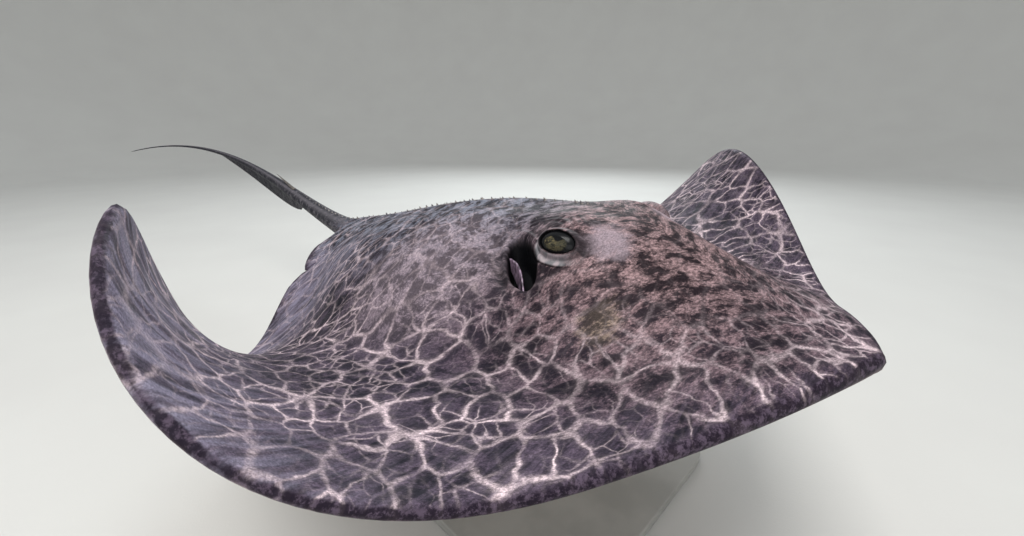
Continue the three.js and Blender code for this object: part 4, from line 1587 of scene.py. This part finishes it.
@dataclass(frozen=True)
class CausticLightFinish:
    """Painted caustic light: soft pale lines between dark patches, widest and brightest where they meet."""

    bends: tuple[tuple[Noise, float], ...] = ((Noise(9.0), 0.040), (Noise(48.0), 0.010))
    wide_cells: float = 33.0
    small_cells: float = 60.0
    small_share: Mottle = Mottle(Noise(13.0), Ramp(0.42, 0.60, 0.10, 0.70))
    spread: float = 0.24
    least_spread: float = 0.030
    core: Ramp = Ramp(0.0, 1.2, 1.0, 0.0)
    glow: Ramp = Ramp(0.0, 3.2, 0.15, 0.0)
    gaps: Mottle = Mottle(Noise(10.0), Ramp(0.36, 0.58, 0.5, 1.0))
    small_gaps: Mottle = Mottle(Noise(36.0, 4.0, 0.6), Ramp(0.34, 0.56, 0.35, 1.0))
    clouded: Ramp = Ramp(0.0, 1.0, 0.75, 1.0)

    def layer(self, shader: Shader, wavy: Socket, scale: float) -> Socket:
        """One layer of lines round cells of one size."""
        middle = shader.cells(wavy, scale, "F1")
        spread = shader.math("MULTIPLY_ADD", shader.times(middle, middle), self.spread, self.least_spread)
        off = shader.math("DIVIDE", shader.cells(wavy, scale), spread)
        return shader.math("MAXIMUM", shader.band(off, self.core), shader.band(off, self.glow))

    def lines(self, shader: Shader, flat: Socket, clouds: Socket) -> Socket:
        """How much of the painted caustic light shows.

        Args:
            shader: The material in the making.
            flat: The skin's flat lateral, station and belly.
            clouds: The broad clouds of the back, where the painted caustic light is brighter.

        Returns:
            The share of its colour.
        """
        wavy = flat
        for noise, amount in self.bends:
            wavy = shader.warp(wavy, noise, amount)
        small = self.layer(shader, wavy, self.small_cells)
        small = shader.times(small, shader.mottle(flat, self.small_share))
        lines = shader.math("MAXIMUM", self.layer(shader, wavy, self.wide_cells), small)
        broken = shader.times(shader.mottle(flat, self.gaps), shader.mottle(flat, self.small_gaps))
        return shader.times(lines, broken, shader.band(clouds, self.clouded))


@dataclass(frozen=True)
class BackFinish:
    """Colours of the upper side: dark wings, a rosy head, a slate ridge and lilac at the edges, with painted
    caustic light over them and painted light on the right wing's tip.
    """

    charcoal: Colour = (0.013, 0.011, 0.019)
    plum: Colour = (0.115, 0.084, 0.122)
    rose: Colour = (0.430, 0.280, 0.285)
    umber: Colour = (0.018, 0.010, 0.013)
    slate: Colour = (0.190, 0.205, 0.260)
    lilac: Colour = (0.330, 0.300, 0.405)
    cheek: Colour = (0.380, 0.300, 0.340)
    tan: Colour = (0.340, 0.270, 0.170)
    # pale pink of the painted caustic light; the pale mottle of the eye rings uses it too
    pale_pink: Colour = (0.940, 0.740, 0.780)
    caustic_strength: float = 0.95
    caustic_light: CausticLightFinish = CausticLightFinish()
    drift: Noise = Noise(22.0)
    drift_by: float = 0.022
    clouds: Mottle = Mottle(Noise(11.0, 3.0), Ramp(0.38, 0.62))
    cloud_share: float = 0.22
    blotch: Mottle = Mottle(Noise(44.0, 6.0, 0.72), Ramp(0.44, 0.59))
    fleck: Mottle = Mottle(Noise(260.0, 4.0, 0.75), Ramp(0.40, 0.62))
    flecked: Ramp = Ramp(0.0, 1.0, 0.35, 1.0)
    mottle_share: float = 0.72
    head: Patch = Patch(0.0, 0.22, Ramp(0.05, 0.27, 1.0, 0.0))
    head_share: float = 0.95
    ridge_across: Ramp = Ramp(0.05, 0.22, 1.0, 0.0)
    ridge_along: Ramp = Ramp(0.24, 0.42)
    ridge_share: float = 0.85
    cheek_place: Patch = Patch(0.150, 0.420, Ramp(0.04, 0.13, 0.80, 0.0))
    cheek_mottled: Ramp = Ramp(0.0, 0.8, 0.30, 1.0)
    brow_place: Patch = Patch(0.060, 0.224, Ramp(0.024, 0.046, 0.80, 0.0), 0.030, Noise(80.0, 4.0, 0.6))
    streak_scale: Colour = (150.0, 7.0, 0.0)
    streaks: Mottle = Mottle(Noise(1.0, 3.0), Ramp(0.36, 0.64, 0.15, 1.0))
    # painted light: lilac streaks brighten the tip of the right wing only
    lit_tip_across: Ramp = Ramp(-0.50, -0.34, 1.0, 0.0)
    lit_tip_share: float = 0.85
    flank_along: Ramp = Ramp(0.56, 0.70)
    flank_across: Ramp = Ramp(0.08, 0.16)
    flank_share: float = 0.60
    caustic_at_rim: Ramp = Ramp(0.12, 0.34, 1.0, 0.70)
    caustic_on_head: Ramp = Ramp(0.0, 0.9, 1.0, 0.12)
    caustic_flecked: Ramp = Ramp(0.0, 1.0, 0.55, 1.0)
    caustic_on_ridge: Ramp = Ramp(0.0, 1.0, 1.0, 0.60)
    caustic_on_flank: Ramp = Ramp(0.0, 1.0, 1.0, 0.45)
    tan_place: Patch = Patch(-0.130, 0.190, Ramp(0.030, 0.058, 0.50, 0.0), 0.050, squash=1.4)
    tan_mottled: Ramp = Ramp(0.0, 0.6, 0.25, 1.0)
    ray_scale: Colour = (190.0, 5.0, 0.0)
    rays: Mottle = Mottle(Noise(1.0), Ramp(0.40, 0.62))
    rays_out: Ramp = Ramp(0.55, 0.85)
    ray_share: float = 0.35
    grain: Mottle = Mottle(Noise(480.0, 3.0, 0.8), Ramp(0.30, 0.70, 0.62, 1.38))

    def patterns(self, shader: Shader, flat: Socket, fan: Socket) -> dict[str, Socket]:
        """Shares that the colours of the back are laid by.

        Args:
            shader: The material in the making.
            flat: The skin's flat lateral, station and belly.
            fan: The skin's rib share, its place along the rib and its distance from the margin.

        Returns:
            The shares by name, with the flat place that they are read from.
        """
        lateral, station, _ = shader.parts(flat)
        off = shader.math("ABSOLUTE", lateral)
        drifting = shader.warp(flat, self.drift, self.drift_by)
        blotch, fleck = shader.mottle(drifting, self.blotch), shader.mottle(flat, self.fleck)
        ridge = shader.band(off, self.ridge_across), shader.band(station, self.ridge_along)
        flank = shader.band(off, self.flank_across), shader.band(station, self.flank_along)
        return {
            "flat": flat,
            "lateral": lateral,
            "off": off,
            "clouds": shader.mottle(drifting, self.clouds),
            "blotch": blotch,
            "fleck": fleck,
            "mottle": shader.times(blotch, shader.band(fleck, self.flecked)),
            "head": shader.patch(flat, off, self.head),
            "ridge": shader.times(*ridge),
            "flank": shader.times(*flank),
            "streaks": shader.mottle(shader.scaled(fan, self.streak_scale), self.streaks),
        }

    def ground(self, shader: Shader, shares: dict[str, Socket]) -> Socket:
        """Colour of the back under its painted caustic light."""
        flat, off, mottle = shares["flat"], shares["off"], shares["mottle"]
        wings = shader.mix(shader.times(shares["clouds"], self.cloud_share), self.charcoal, self.plum)
        wings = shader.mix(shader.times(mottle, self.mottle_share), wings, self.plum)
        rosy = shader.mix(mottle, self.umber, self.rose)
        colour = shader.mix(shader.times(shares["head"], self.head_share), wings, rosy)
        slate = shader.mix(shares["blotch"], self.charcoal, self.slate)
        colour = shader.mix(shader.times(shares["ridge"], self.ridge_share), colour, slate)
        cheek = shader.patch(flat, off, self.cheek_place)
        cheek = shader.times(cheek, shader.band(mottle, self.cheek_mottled))
        colour = shader.mix(cheek, colour, self.cheek)
        colour = shader.mix(shader.patch(flat, off, self.brow_place), colour, self.cheek)
        # painted light on the right wing's tip, in lilac streaks
        tip = shader.times(shader.band(shares["lateral"], self.lit_tip_across), shares["streaks"], self.lit_tip_share)
        colour = shader.mix(tip, colour, self.lilac)
        flank = shader.times(shares["flank"], shares["streaks"], self.flank_share)
        return shader.mix(flank, colour, self.lilac)

    def caustic_share(self, shader: Shader, shares: dict[str, Socket], rim_span: Socket) -> Socket:
        """How much of the painted caustic light shows, fainter on the head, the ridge and the flanks."""
        return shader.times(
            self.caustic_light.lines(shader, shares["flat"], shares["clouds"]),
            shader.band(shares["head"], self.caustic_on_head),
            shader.band(rim_span, self.caustic_at_rim),
            shader.band(shares["fleck"], self.caustic_flecked),
            shader.band(shares["ridge"], self.caustic_on_ridge),
            shader.band(shares["flank"], self.caustic_on_flank),
            self.caustic_strength,
        )

    def colour(self, shader: Shader, flat: Socket, fan: Socket) -> Socket:
        """Colour of the upper side.

        Args:
            shader: The material in the making.
            flat: The skin's flat lateral, station and belly.
            fan: The skin's rib share, its place along the rib and its distance from the margin.

        Returns:
            The colour.
        """
        _, out, rim_span = shader.parts(fan)
        shares = self.patterns(shader, flat, fan)
        colour = self.ground(shader, shares)
        # painted caustic light: pale pink lines laid over the back
        colour = shader.mix(self.caustic_share(shader, shares, rim_span), colour, self.pale_pink)
        tan = shader.patch(flat, shares["lateral"], self.tan_place)
        tan = shader.times(tan, shader.band(shares["mottle"], self.tan_mottled))
        colour = shader.mix(tan, colour, self.tan)
        rays = shader.mottle(shader.scaled(fan, self.ray_scale), self.rays)
        rays = shader.times(rays, shader.band(out, self.rays_out), self.ray_share)
        colour = shader.mix(rays, colour, self.plum, "SCREEN")
        return shader.mix(1.0, colour, shader.mottle(flat, self.grain), "MULTIPLY")


@dataclass(frozen=True)
class SkinFinish:
    """The ray's living skin: painted caustic light over the dark, mottled back, creamy below, and painted
    shade black in its openings.
    """

    back: BackFinish = BackFinish()
    rim: Colour = (0.018, 0.012, 0.022)
    rim_slimming: Ramp = Ramp(0.22, 0.38, 1.0, 5.5)
    rim_ragged: Noise = Noise(42.0, 5.0, 0.65)
    rim_ragged_by: float = -0.060
    rim_edge: Ramp = Ramp(-0.026, -0.012, 1.0, 0.0)
    rim_speckle: Mottle = Mottle(Noise(170.0, 4.0, 0.75), Ramp(0.45, 0.64))
    rim_share: float = 0.95
    tail: Colour = (0.020, 0.020, 0.027)
    tail_side: Colour = (0.130, 0.120, 0.135)
    tail_pale: Colour = (0.170, 0.155, 0.175)
    tail_start: Ramp = Ramp(0.87, 1.04)
    tail_side_mid: float = 0.5
    tail_side_width: Ramp = Ramp(0.0, 0.45, 1.0, 0.0)
    tail_side_share: float = 0.8
    scuff_drift: Noise = Noise(40.0)
    scuff_drift_by: float = 0.015
    scuffs: Mottle = Mottle(Noise(90.0, 5.0, 0.7), Ramp(0.48, 0.66))
    scuffs_along: Ramp = Ramp(0.9, 1.9, 0.85, 0.35)
    belly: Colour = (0.640, 0.590, 0.560)
    blush: Colour = (0.560, 0.470, 0.450)
    blushing: Ramp = Ramp(0.4, 0.7)
    dusk: Colour = (0.160, 0.120, 0.130)
    smudge: Noise = Noise(18.0, 3.0)
    smudge_by: float = -0.060
    dusk_edge: Ramp = Ramp(-0.010, 0.030, 1.0, 0.0)
    belly_edge: Ramp = Ramp(0.0002, 0.006)
    off_tail: Ramp = Ramp(0.0, 0.5, 1.0, 0.0)
    eye_ring: Colour = (0.235, 0.232, 0.246)
    ring_worn: Noise = Noise(150.0, 5.0, 0.75)
    ring_worn_by: float = 0.90
    ring_edge: Ramp = Ramp(0.70, 1.25, 0.15, 0.95)
    ring_pale: Mottle = Mottle(Noise(75.0, 3.0, 0.6), Ramp(0.42, 0.62))
    ring_pale_share: float = 0.35
    # black of the painted shade in the openings, eye sockets and creases
    black: Colour = (0.004, 0.004, 0.005)
    fine: Relief = Relief(Noise(1400.0), 0.00025, 0.6)
    pores: Relief = Relief(Noise(260.0, 4.0, 0.6), 0.0009, 0.7)
    folds: Relief = Relief(Noise(55.0, 3.0), 0.0022, 0.6)
    fold_drift: Noise = Noise(30.0)
    fold_drift_by: float = 0.02
    wet: Mottle = Mottle(Noise(45.0, 3.0), Ramp(0.35, 0.70, 0.44, 0.66))
    specular: float = 0.08

    def rimmed(self, shader: Shader, flat: Socket, fan: Socket, colour: Socket) -> Socket:
        """The back with its dark, speckled rim, which is slim at the tips of the wings."""
        off = shader.math("ABSOLUTE", shader.parts(flat)[0])
        away = shader.times(shader.parts(fan)[2], shader.band(off, self.rim_slimming))
        ragged = shader.plus(away, shader.times(shader.noise(flat, self.rim_ragged), self.rim_ragged_by))
        share = shader.times(shader.band(ragged, self.rim_edge), self.rim_share)
        speckled = shader.mix(shader.mottle(shader.place(), self.rim_speckle), self.rim, self.back.plum)
        return shader.mix(share, colour, speckled)

    def tailed(self, shader: Shader, flat: Socket, colour: Socket) -> Socket:
        """The skin with the dark, scuffed tail behind the disc."""
        _, station, under = shader.parts(flat)
        side = shader.math("ABSOLUTE", shader.plus(under, self.tail_side_mid))
        side = shader.times(shader.band(side, self.tail_side_width), self.tail_side_share)
        drifting = shader.warp(shader.place(), self.scuff_drift, self.scuff_drift_by)
        scuffs = shader.times(shader.mottle(drifting, self.scuffs), shader.band(station, self.scuffs_along))
        whip = shader.mix(scuffs, shader.mix(side, self.tail, self.tail_side), self.tail_pale)
        return shader.mix(shader.band(station, self.tail_start), colour, whip)

    def bellied(self, shader: Shader, flat: Socket, tail: Socket, colour: Socket) -> Socket:
        """The skin with its creamy belly, dusky towards the margin."""
        under = shader.parts(flat)[2]
        smudge = shader.noise(flat, self.smudge)
        dusky = shader.band(shader.plus(under, shader.times(smudge, self.smudge_by)), self.dusk_edge)
        creamy = shader.mix(shader.band(smudge, self.blushing), self.belly, self.blush)
        below = shader.times(shader.band(under, self.belly_edge), shader.band(tail, self.off_tail))
        return shader.mix(below, colour, shader.mix(dusky, creamy, self.dusk))

    def ringed(self, shader: Shader, flat: Socket, pale: Socket, colour: Socket) -> Socket:
        """The skin with the worn, pale ring round each eye."""
        worn = shader.plus(pale, shader.times(shader.noise(flat, self.ring_worn), self.ring_worn_by))
        ring = shader.mix(shader.mottle(flat, self.ring_pale), self.eye_ring, self.back.pale_pink)
        ring = shader.mix(self.ring_pale_share, self.eye_ring, ring)
        return shader.mix(shader.times(pale, shader.band(worn, self.ring_edge)), colour, ring)

    def material(self) -> bpy.types.Material:
        """Builds the material."""
        shader = Shader("ray_skin")
        flat, fan, marks = (shader.attribute(name) for name in ("flat", "fan", "marks"))
        pale, hole, tail = shader.parts(marks)
        colour = self.rimmed(shader, flat, fan, self.back.colour(shader, flat, fan))
        colour = self.bellied(shader, flat, tail, self.tailed(shader, flat, colour))
        # painted shade: openings, eye sockets and creases turned black
        colour = shader.mix(hole, self.ringed(shader, flat, pale, colour), self.black)
        place = shader.place()
        pores = shader.bump(place, self.pores, shader.bump(place, self.fine))
        folds = shader.bump(shader.warp(place, self.fold_drift, self.fold_drift_by), self.folds, pores)
        return shader.finish({
            "Base Color": colour, "Roughness": shader.mottle(place, self.wet), "Normal": folds,
            "Specular IOR Level": self.specular,
        })


@dataclass(frozen=True)
class EyeFinish:
    """A glossy eye: black at its edge, gold-olive within, with a black upper band that is painted shadow of
    the upper lid and also stands for the pupil.
    """

    gold: Colour = (0.360, 0.275, 0.125)
    olive: Colour = (0.060, 0.056, 0.036)
    black: Colour = (0.004, 0.004, 0.005)
    iris: tuple[float, float] = (0.50, 0.56)
    iris_edge: Ramp = Ramp(0.78, 1.0)
    sink: float = 0.12
    marble: Mottle = Mottle(Noise(6.0, 6.0, 0.80), Ramp(0.46, 0.72))
    marble_bend: float = 0.5
    marble_drift: Noise = Noise(4.0)
    golden: Ramp = Ramp(-0.35, 0.30, 0.30, 1.0)
    veins: Mottle = Mottle(Noise(9.0, 4.0), Ramp(0.50, 0.64, 0.0, 0.9))
    vein_bend: float = 0.4
    vein_drift: Noise = Noise(5.0)
    # peak, droop and brow set the black upper band: painted shadow of the upper lid, also standing for the
    # pupil
    peak: float = 0.08
    droop: Ramp = Ramp(0.0, 0.30, 0.22, 0.0)
    brow: Ramp = Ramp(0.16, 0.26)
    roughness: float = 0.26
    coat: float = 0.12
    coat_roughness: float = 0.05
    specular: float = 0.14

    def material(self) -> bpy.types.Material:
        """Builds the material."""
        shader = Shader("ray_eye")
        gaze = shader.attribute("gaze")
        up, rear, _ = shader.parts(gaze)
        radial = shader.away(shader.plus(up, self.sink), rear, (1.0 / self.iris[0], 1.0 / self.iris[1]))
        marble = shader.mottle(shader.warp(gaze, self.marble_drift, self.marble_bend), self.marble)
        iris = shader.mix(shader.times(marble, shader.band(rear, self.golden)), self.olive, self.gold)
        veins = shader.mottle(shader.warp(gaze, self.vein_drift, self.vein_bend), self.veins)
        iris = shader.mix(veins, iris, self.black)
        # black upper band: painted shadow of the upper lid, which also stands for the pupil
        droop = shader.band(shader.math("ABSOLUTE", shader.plus(rear, self.peak)), self.droop)
        colour = shader.mix(shader.band(shader.plus(up, droop), self.brow), iris, self.black)
        colour = shader.mix(shader.band(radial, self.iris_edge), colour, self.black)
        return shader.finish({
            "Base Color": colour, "Roughness": self.roughness, "Coat Weight": self.coat,
            "Coat Roughness": self.coat_roughness, "Specular IOR Level": self.specular,
        })


@dataclass(frozen=True)
class MottledFinish:
    """A surface of two colours, one in patches over the other, with a fine grain."""

    name: str
    ground: Colour
    patches: Colour
    mottle: Mottle
    grain: Relief
    roughness: float
    coat: float = 0.0

    def material(self) -> bpy.types.Material:
        """Builds the material."""
        shader = Shader(self.name)
        place = shader.place()
        colour = shader.mix(shader.mottle(place, self.mottle), self.ground, self.patches)
        return shader.finish({
            "Base Color": colour, "Roughness": self.roughness, "Normal": shader.bump(place, self.grain),
            "Coat Weight": self.coat,
        })


VALVE_SKIN = MottledFinish(
    "spiracle_valve", ground=(0.060, 0.040, 0.060), patches=(0.420, 0.290, 0.400),
    mottle=Mottle(Noise(160.0, 3.0), Ramp(0.38, 0.66)), grain=Relief(Noise(700.0), 0.0004, 0.6),
    roughness=0.34, coat=0.25,
)
THORN_ENAMEL = MottledFinish(
    "thorn_enamel", ground=(0.055, 0.045, 0.052), patches=(0.330, 0.290, 0.260),
    mottle=Mottle(Noise(220.0, 3.0), Ramp(0.40, 0.68)), grain=Relief(Noise(2200.0), 0.0002, 0.5),
    roughness=0.42,
)
STING_BONE = MottledFinish(
    "sting_bone", ground=(0.120, 0.100, 0.085), patches=(0.030, 0.025, 0.026),
    mottle=Mottle(Noise(60.0, 4.0, 0.6), Ramp(0.42, 0.66)), grain=Relief(Noise(1500.0, 3.0), 0.0002, 0.6),
    roughness=0.40,
)


@dataclass(frozen=True)
class LacquerFinish:
    """Satin lacquer over metal, with a fine orange peel and dulled handling marks."""

    coat: Colour = (0.46, 0.45, 0.42)
    darker: Colour = (0.3772, 0.3690, 0.3444)
    tone: Mottle = Mottle(Noise(12.0, 4.0), Ramp(0.35, 0.65))
    rub: Mottle = Mottle(Noise(70.0, 5.0, 0.7), Ramp(0.30, 0.75, 0.31, 0.50))
    peel: Relief = Relief(Noise(900.0), 0.00012, 0.5)

    def material(self) -> bpy.types.Material:
        """Builds the material."""
        shader = Shader("stand_lacquer")
        place = shader.place()
        return shader.finish({
            "Base Color": shader.mix(shader.mottle(place, self.tone), self.coat, self.darker),
            "Roughness": shader.mottle(place, self.rub),
            "Normal": shader.bump(place, self.peel),
        })


def dress(piece: bpy.types.Object, material: bpy.types.Material) -> bpy.types.Object:
    """Gives a piece its one material."""
    piece.data.materials.clear()
    piece.data.materials.append(material)
    LOG.info("%s: %d faces", piece.name, len(piece.data.polygons))
    return piece


# ---------- the studio ----------


@dataclass(frozen=True)
class Lamp:
    """One soft square light."""

    name: str
    place: Colour
    size: float
    power: float
    colour: Colour


@dataclass
class Studio:
    """A pale floor that curves up into its backdrop, soft lights and the camera."""

    floor_radius: float = 5.0
    sweep_radius: float = 2.5
    sweep_step: int = 6
    wall: float = 2.0
    floor_sides: int = 96
    floor_colour: Colour = (0.640, 0.622, 0.600)
    floor_pale: Colour = (0.70, 0.69, 0.66)
    floor_tone: Noise = Noise(3.0, 3.0)
    floor_grain: Relief = Relief(Noise(300.0, 3.0), 0.0004, 0.4)
    floor_roughness: float = 0.85
    lit_place: Colour = (0.0, 0.1, 0.3)
    lamps: tuple[Lamp, ...] = (
        Lamp("key", (-1.0, -0.4, 3.2), 1.6, 66.0, (1.0, 0.98, 0.95)),
        Lamp("fill", (-2.6, -2.4, 1.6), 2.0, 20.0, (0.95, 0.97, 1.0)),
        Lamp("back", (2.6, 1.8, 2.4), 1.8, 62.0, (0.90, 0.97, 1.0)),
    )
    surroundings: Colour = (0.86, 0.91, 0.94)
    surroundings_strength: float = 0.60
    camera_place: Colour = (-0.44293, -0.49571, 0.49652)
    camera_look: Colour = (0.68342, 0.65780, -0.31659)
    lens: float = 15.29
    sensor: float = 36.0

    def floor_outline(self) -> list[tuple[float, float]]:
        """Radius and height of the floor's outline, from its middle out and up."""
        sweep, outline = self.sweep_radius, [(0.0, 0.0)]
        for angle in map(math.radians, range(0, 91, self.sweep_step)):
            outline.append((self.floor_radius + sweep * math.sin(angle), sweep * (1.0 - math.cos(angle))))
        radius, height = outline[-1]
        return outline + [(radius, height + self.wall)]

    def floor(self) -> None:
        """Builds the floor as a shallow bowl."""
        mesh = bmesh.new()
        spin_outline(mesh, self.floor_outline(), self.floor_sides)
        data = bpy.data.meshes.new("studio_floor")
        mesh.to_mesh(data)
        mesh.free()
        for polygon in data.polygons:
            polygon.use_smooth = True
        floor = bpy.data.objects.new("studio_floor", data)
        bpy.context.scene.collection.objects.link(floor)
        shader = Shader("studio_floor")
        place = shader.place()
        tone = shader.mix(shader.noise(place, self.floor_tone), self.floor_colour, self.floor_pale)
        data.materials.append(shader.finish({
            "Base Color": tone,
            "Roughness": self.floor_roughness,
            "Normal": shader.bump(place, self.floor_grain),
        }))
        floor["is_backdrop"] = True

    def lights(self) -> None:
        """Sets up the lights and the pale surroundings."""
        for lamp in self.lamps:
            data = bpy.data.lights.new(lamp.name, "AREA")
            data.size, data.energy, data.color = lamp.size, lamp.power, lamp.colour
            light = bpy.data.objects.new(lamp.name, data)
            light.location = lamp.place
            aim = Vector(self.lit_place) - Vector(lamp.place)
            light.rotation_euler = aim.to_track_quat("-Z", "Y").to_euler()
            bpy.context.scene.collection.objects.link(light)
        world = bpy.data.worlds.new("studio")
        world.use_nodes = True
        background = world.node_tree.nodes["Background"].inputs
        background["Color"].default_value = (*self.surroundings, 1.0)
        background["Strength"].default_value = self.surroundings_strength
        bpy.context.scene.world = world
        bpy.context.scene.view_settings.view_transform = "Standard"

    def camera(self) -> None:
        """Places the wide lens close to the snout."""
        data = bpy.data.cameras.new("camera")
        data.sensor_width, data.lens = self.sensor, self.lens
        data.clip_start, data.clip_end = 0.01, 100.0
        camera = bpy.data.objects.new("camera", data)
        camera.location = self.camera_place
        camera.rotation_euler = Vector(self.camera_look).to_track_quat("-Z", "Y").to_euler()
        bpy.context.scene.collection.objects.link(camera)
        bpy.context.scene.camera = camera

    def build(self) -> None:
        """Builds the studio."""
        self.floor()
        self.lights()
        self.camera()


FLESH = (
    "head", "trunk", "wing_left", "wing_right", "pelvic_fin_left", "pelvic_fin_right",
    "tail_base", "tail_middle", "tail_whip",
)


def main() -> list[list[float]]:
    """Builds the model round its frame.

    Returns:
        The two corners of the frame's own box.
    """
    logging.basicConfig(level=logging.INFO, format="%(name)s: %(message)s")
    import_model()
    cad_box = [list(corner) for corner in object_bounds()]
    skin = Skin()
    body = dress(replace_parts(skin.build(), *FLESH), SkinFinish().material())
    eye_finish, valve_finish = EyeFinish().material(), VALVE_SKIN.material()
    for side in Side:
        dress(Eyeball(skin, side).build(), eye_finish)
        dress(SpiracleValve(skin, side).build(), valve_finish)
    dress(Thorns(skin).build(), THORN_ENAMEL.material())
    dress(Sting(skin).build(), STING_BONE.material())
    mesh = bmesh.new()
    mesh.from_mesh(body.data)
    stand = Stand(skin, BVHTree.FromBMesh(mesh))
    mesh.free()
    lacquer = LacquerFinish().material()
    dress(stand.build_base(), lacquer)
    for name, station in zip(("stand_rod_front", "stand_rod_rear"), stand.stations):
        dress(stand.build_rod(name, station), lacquer)
    Studio().build()
    return cad_box


if __name__ == "__main__":
    frame_box = main()
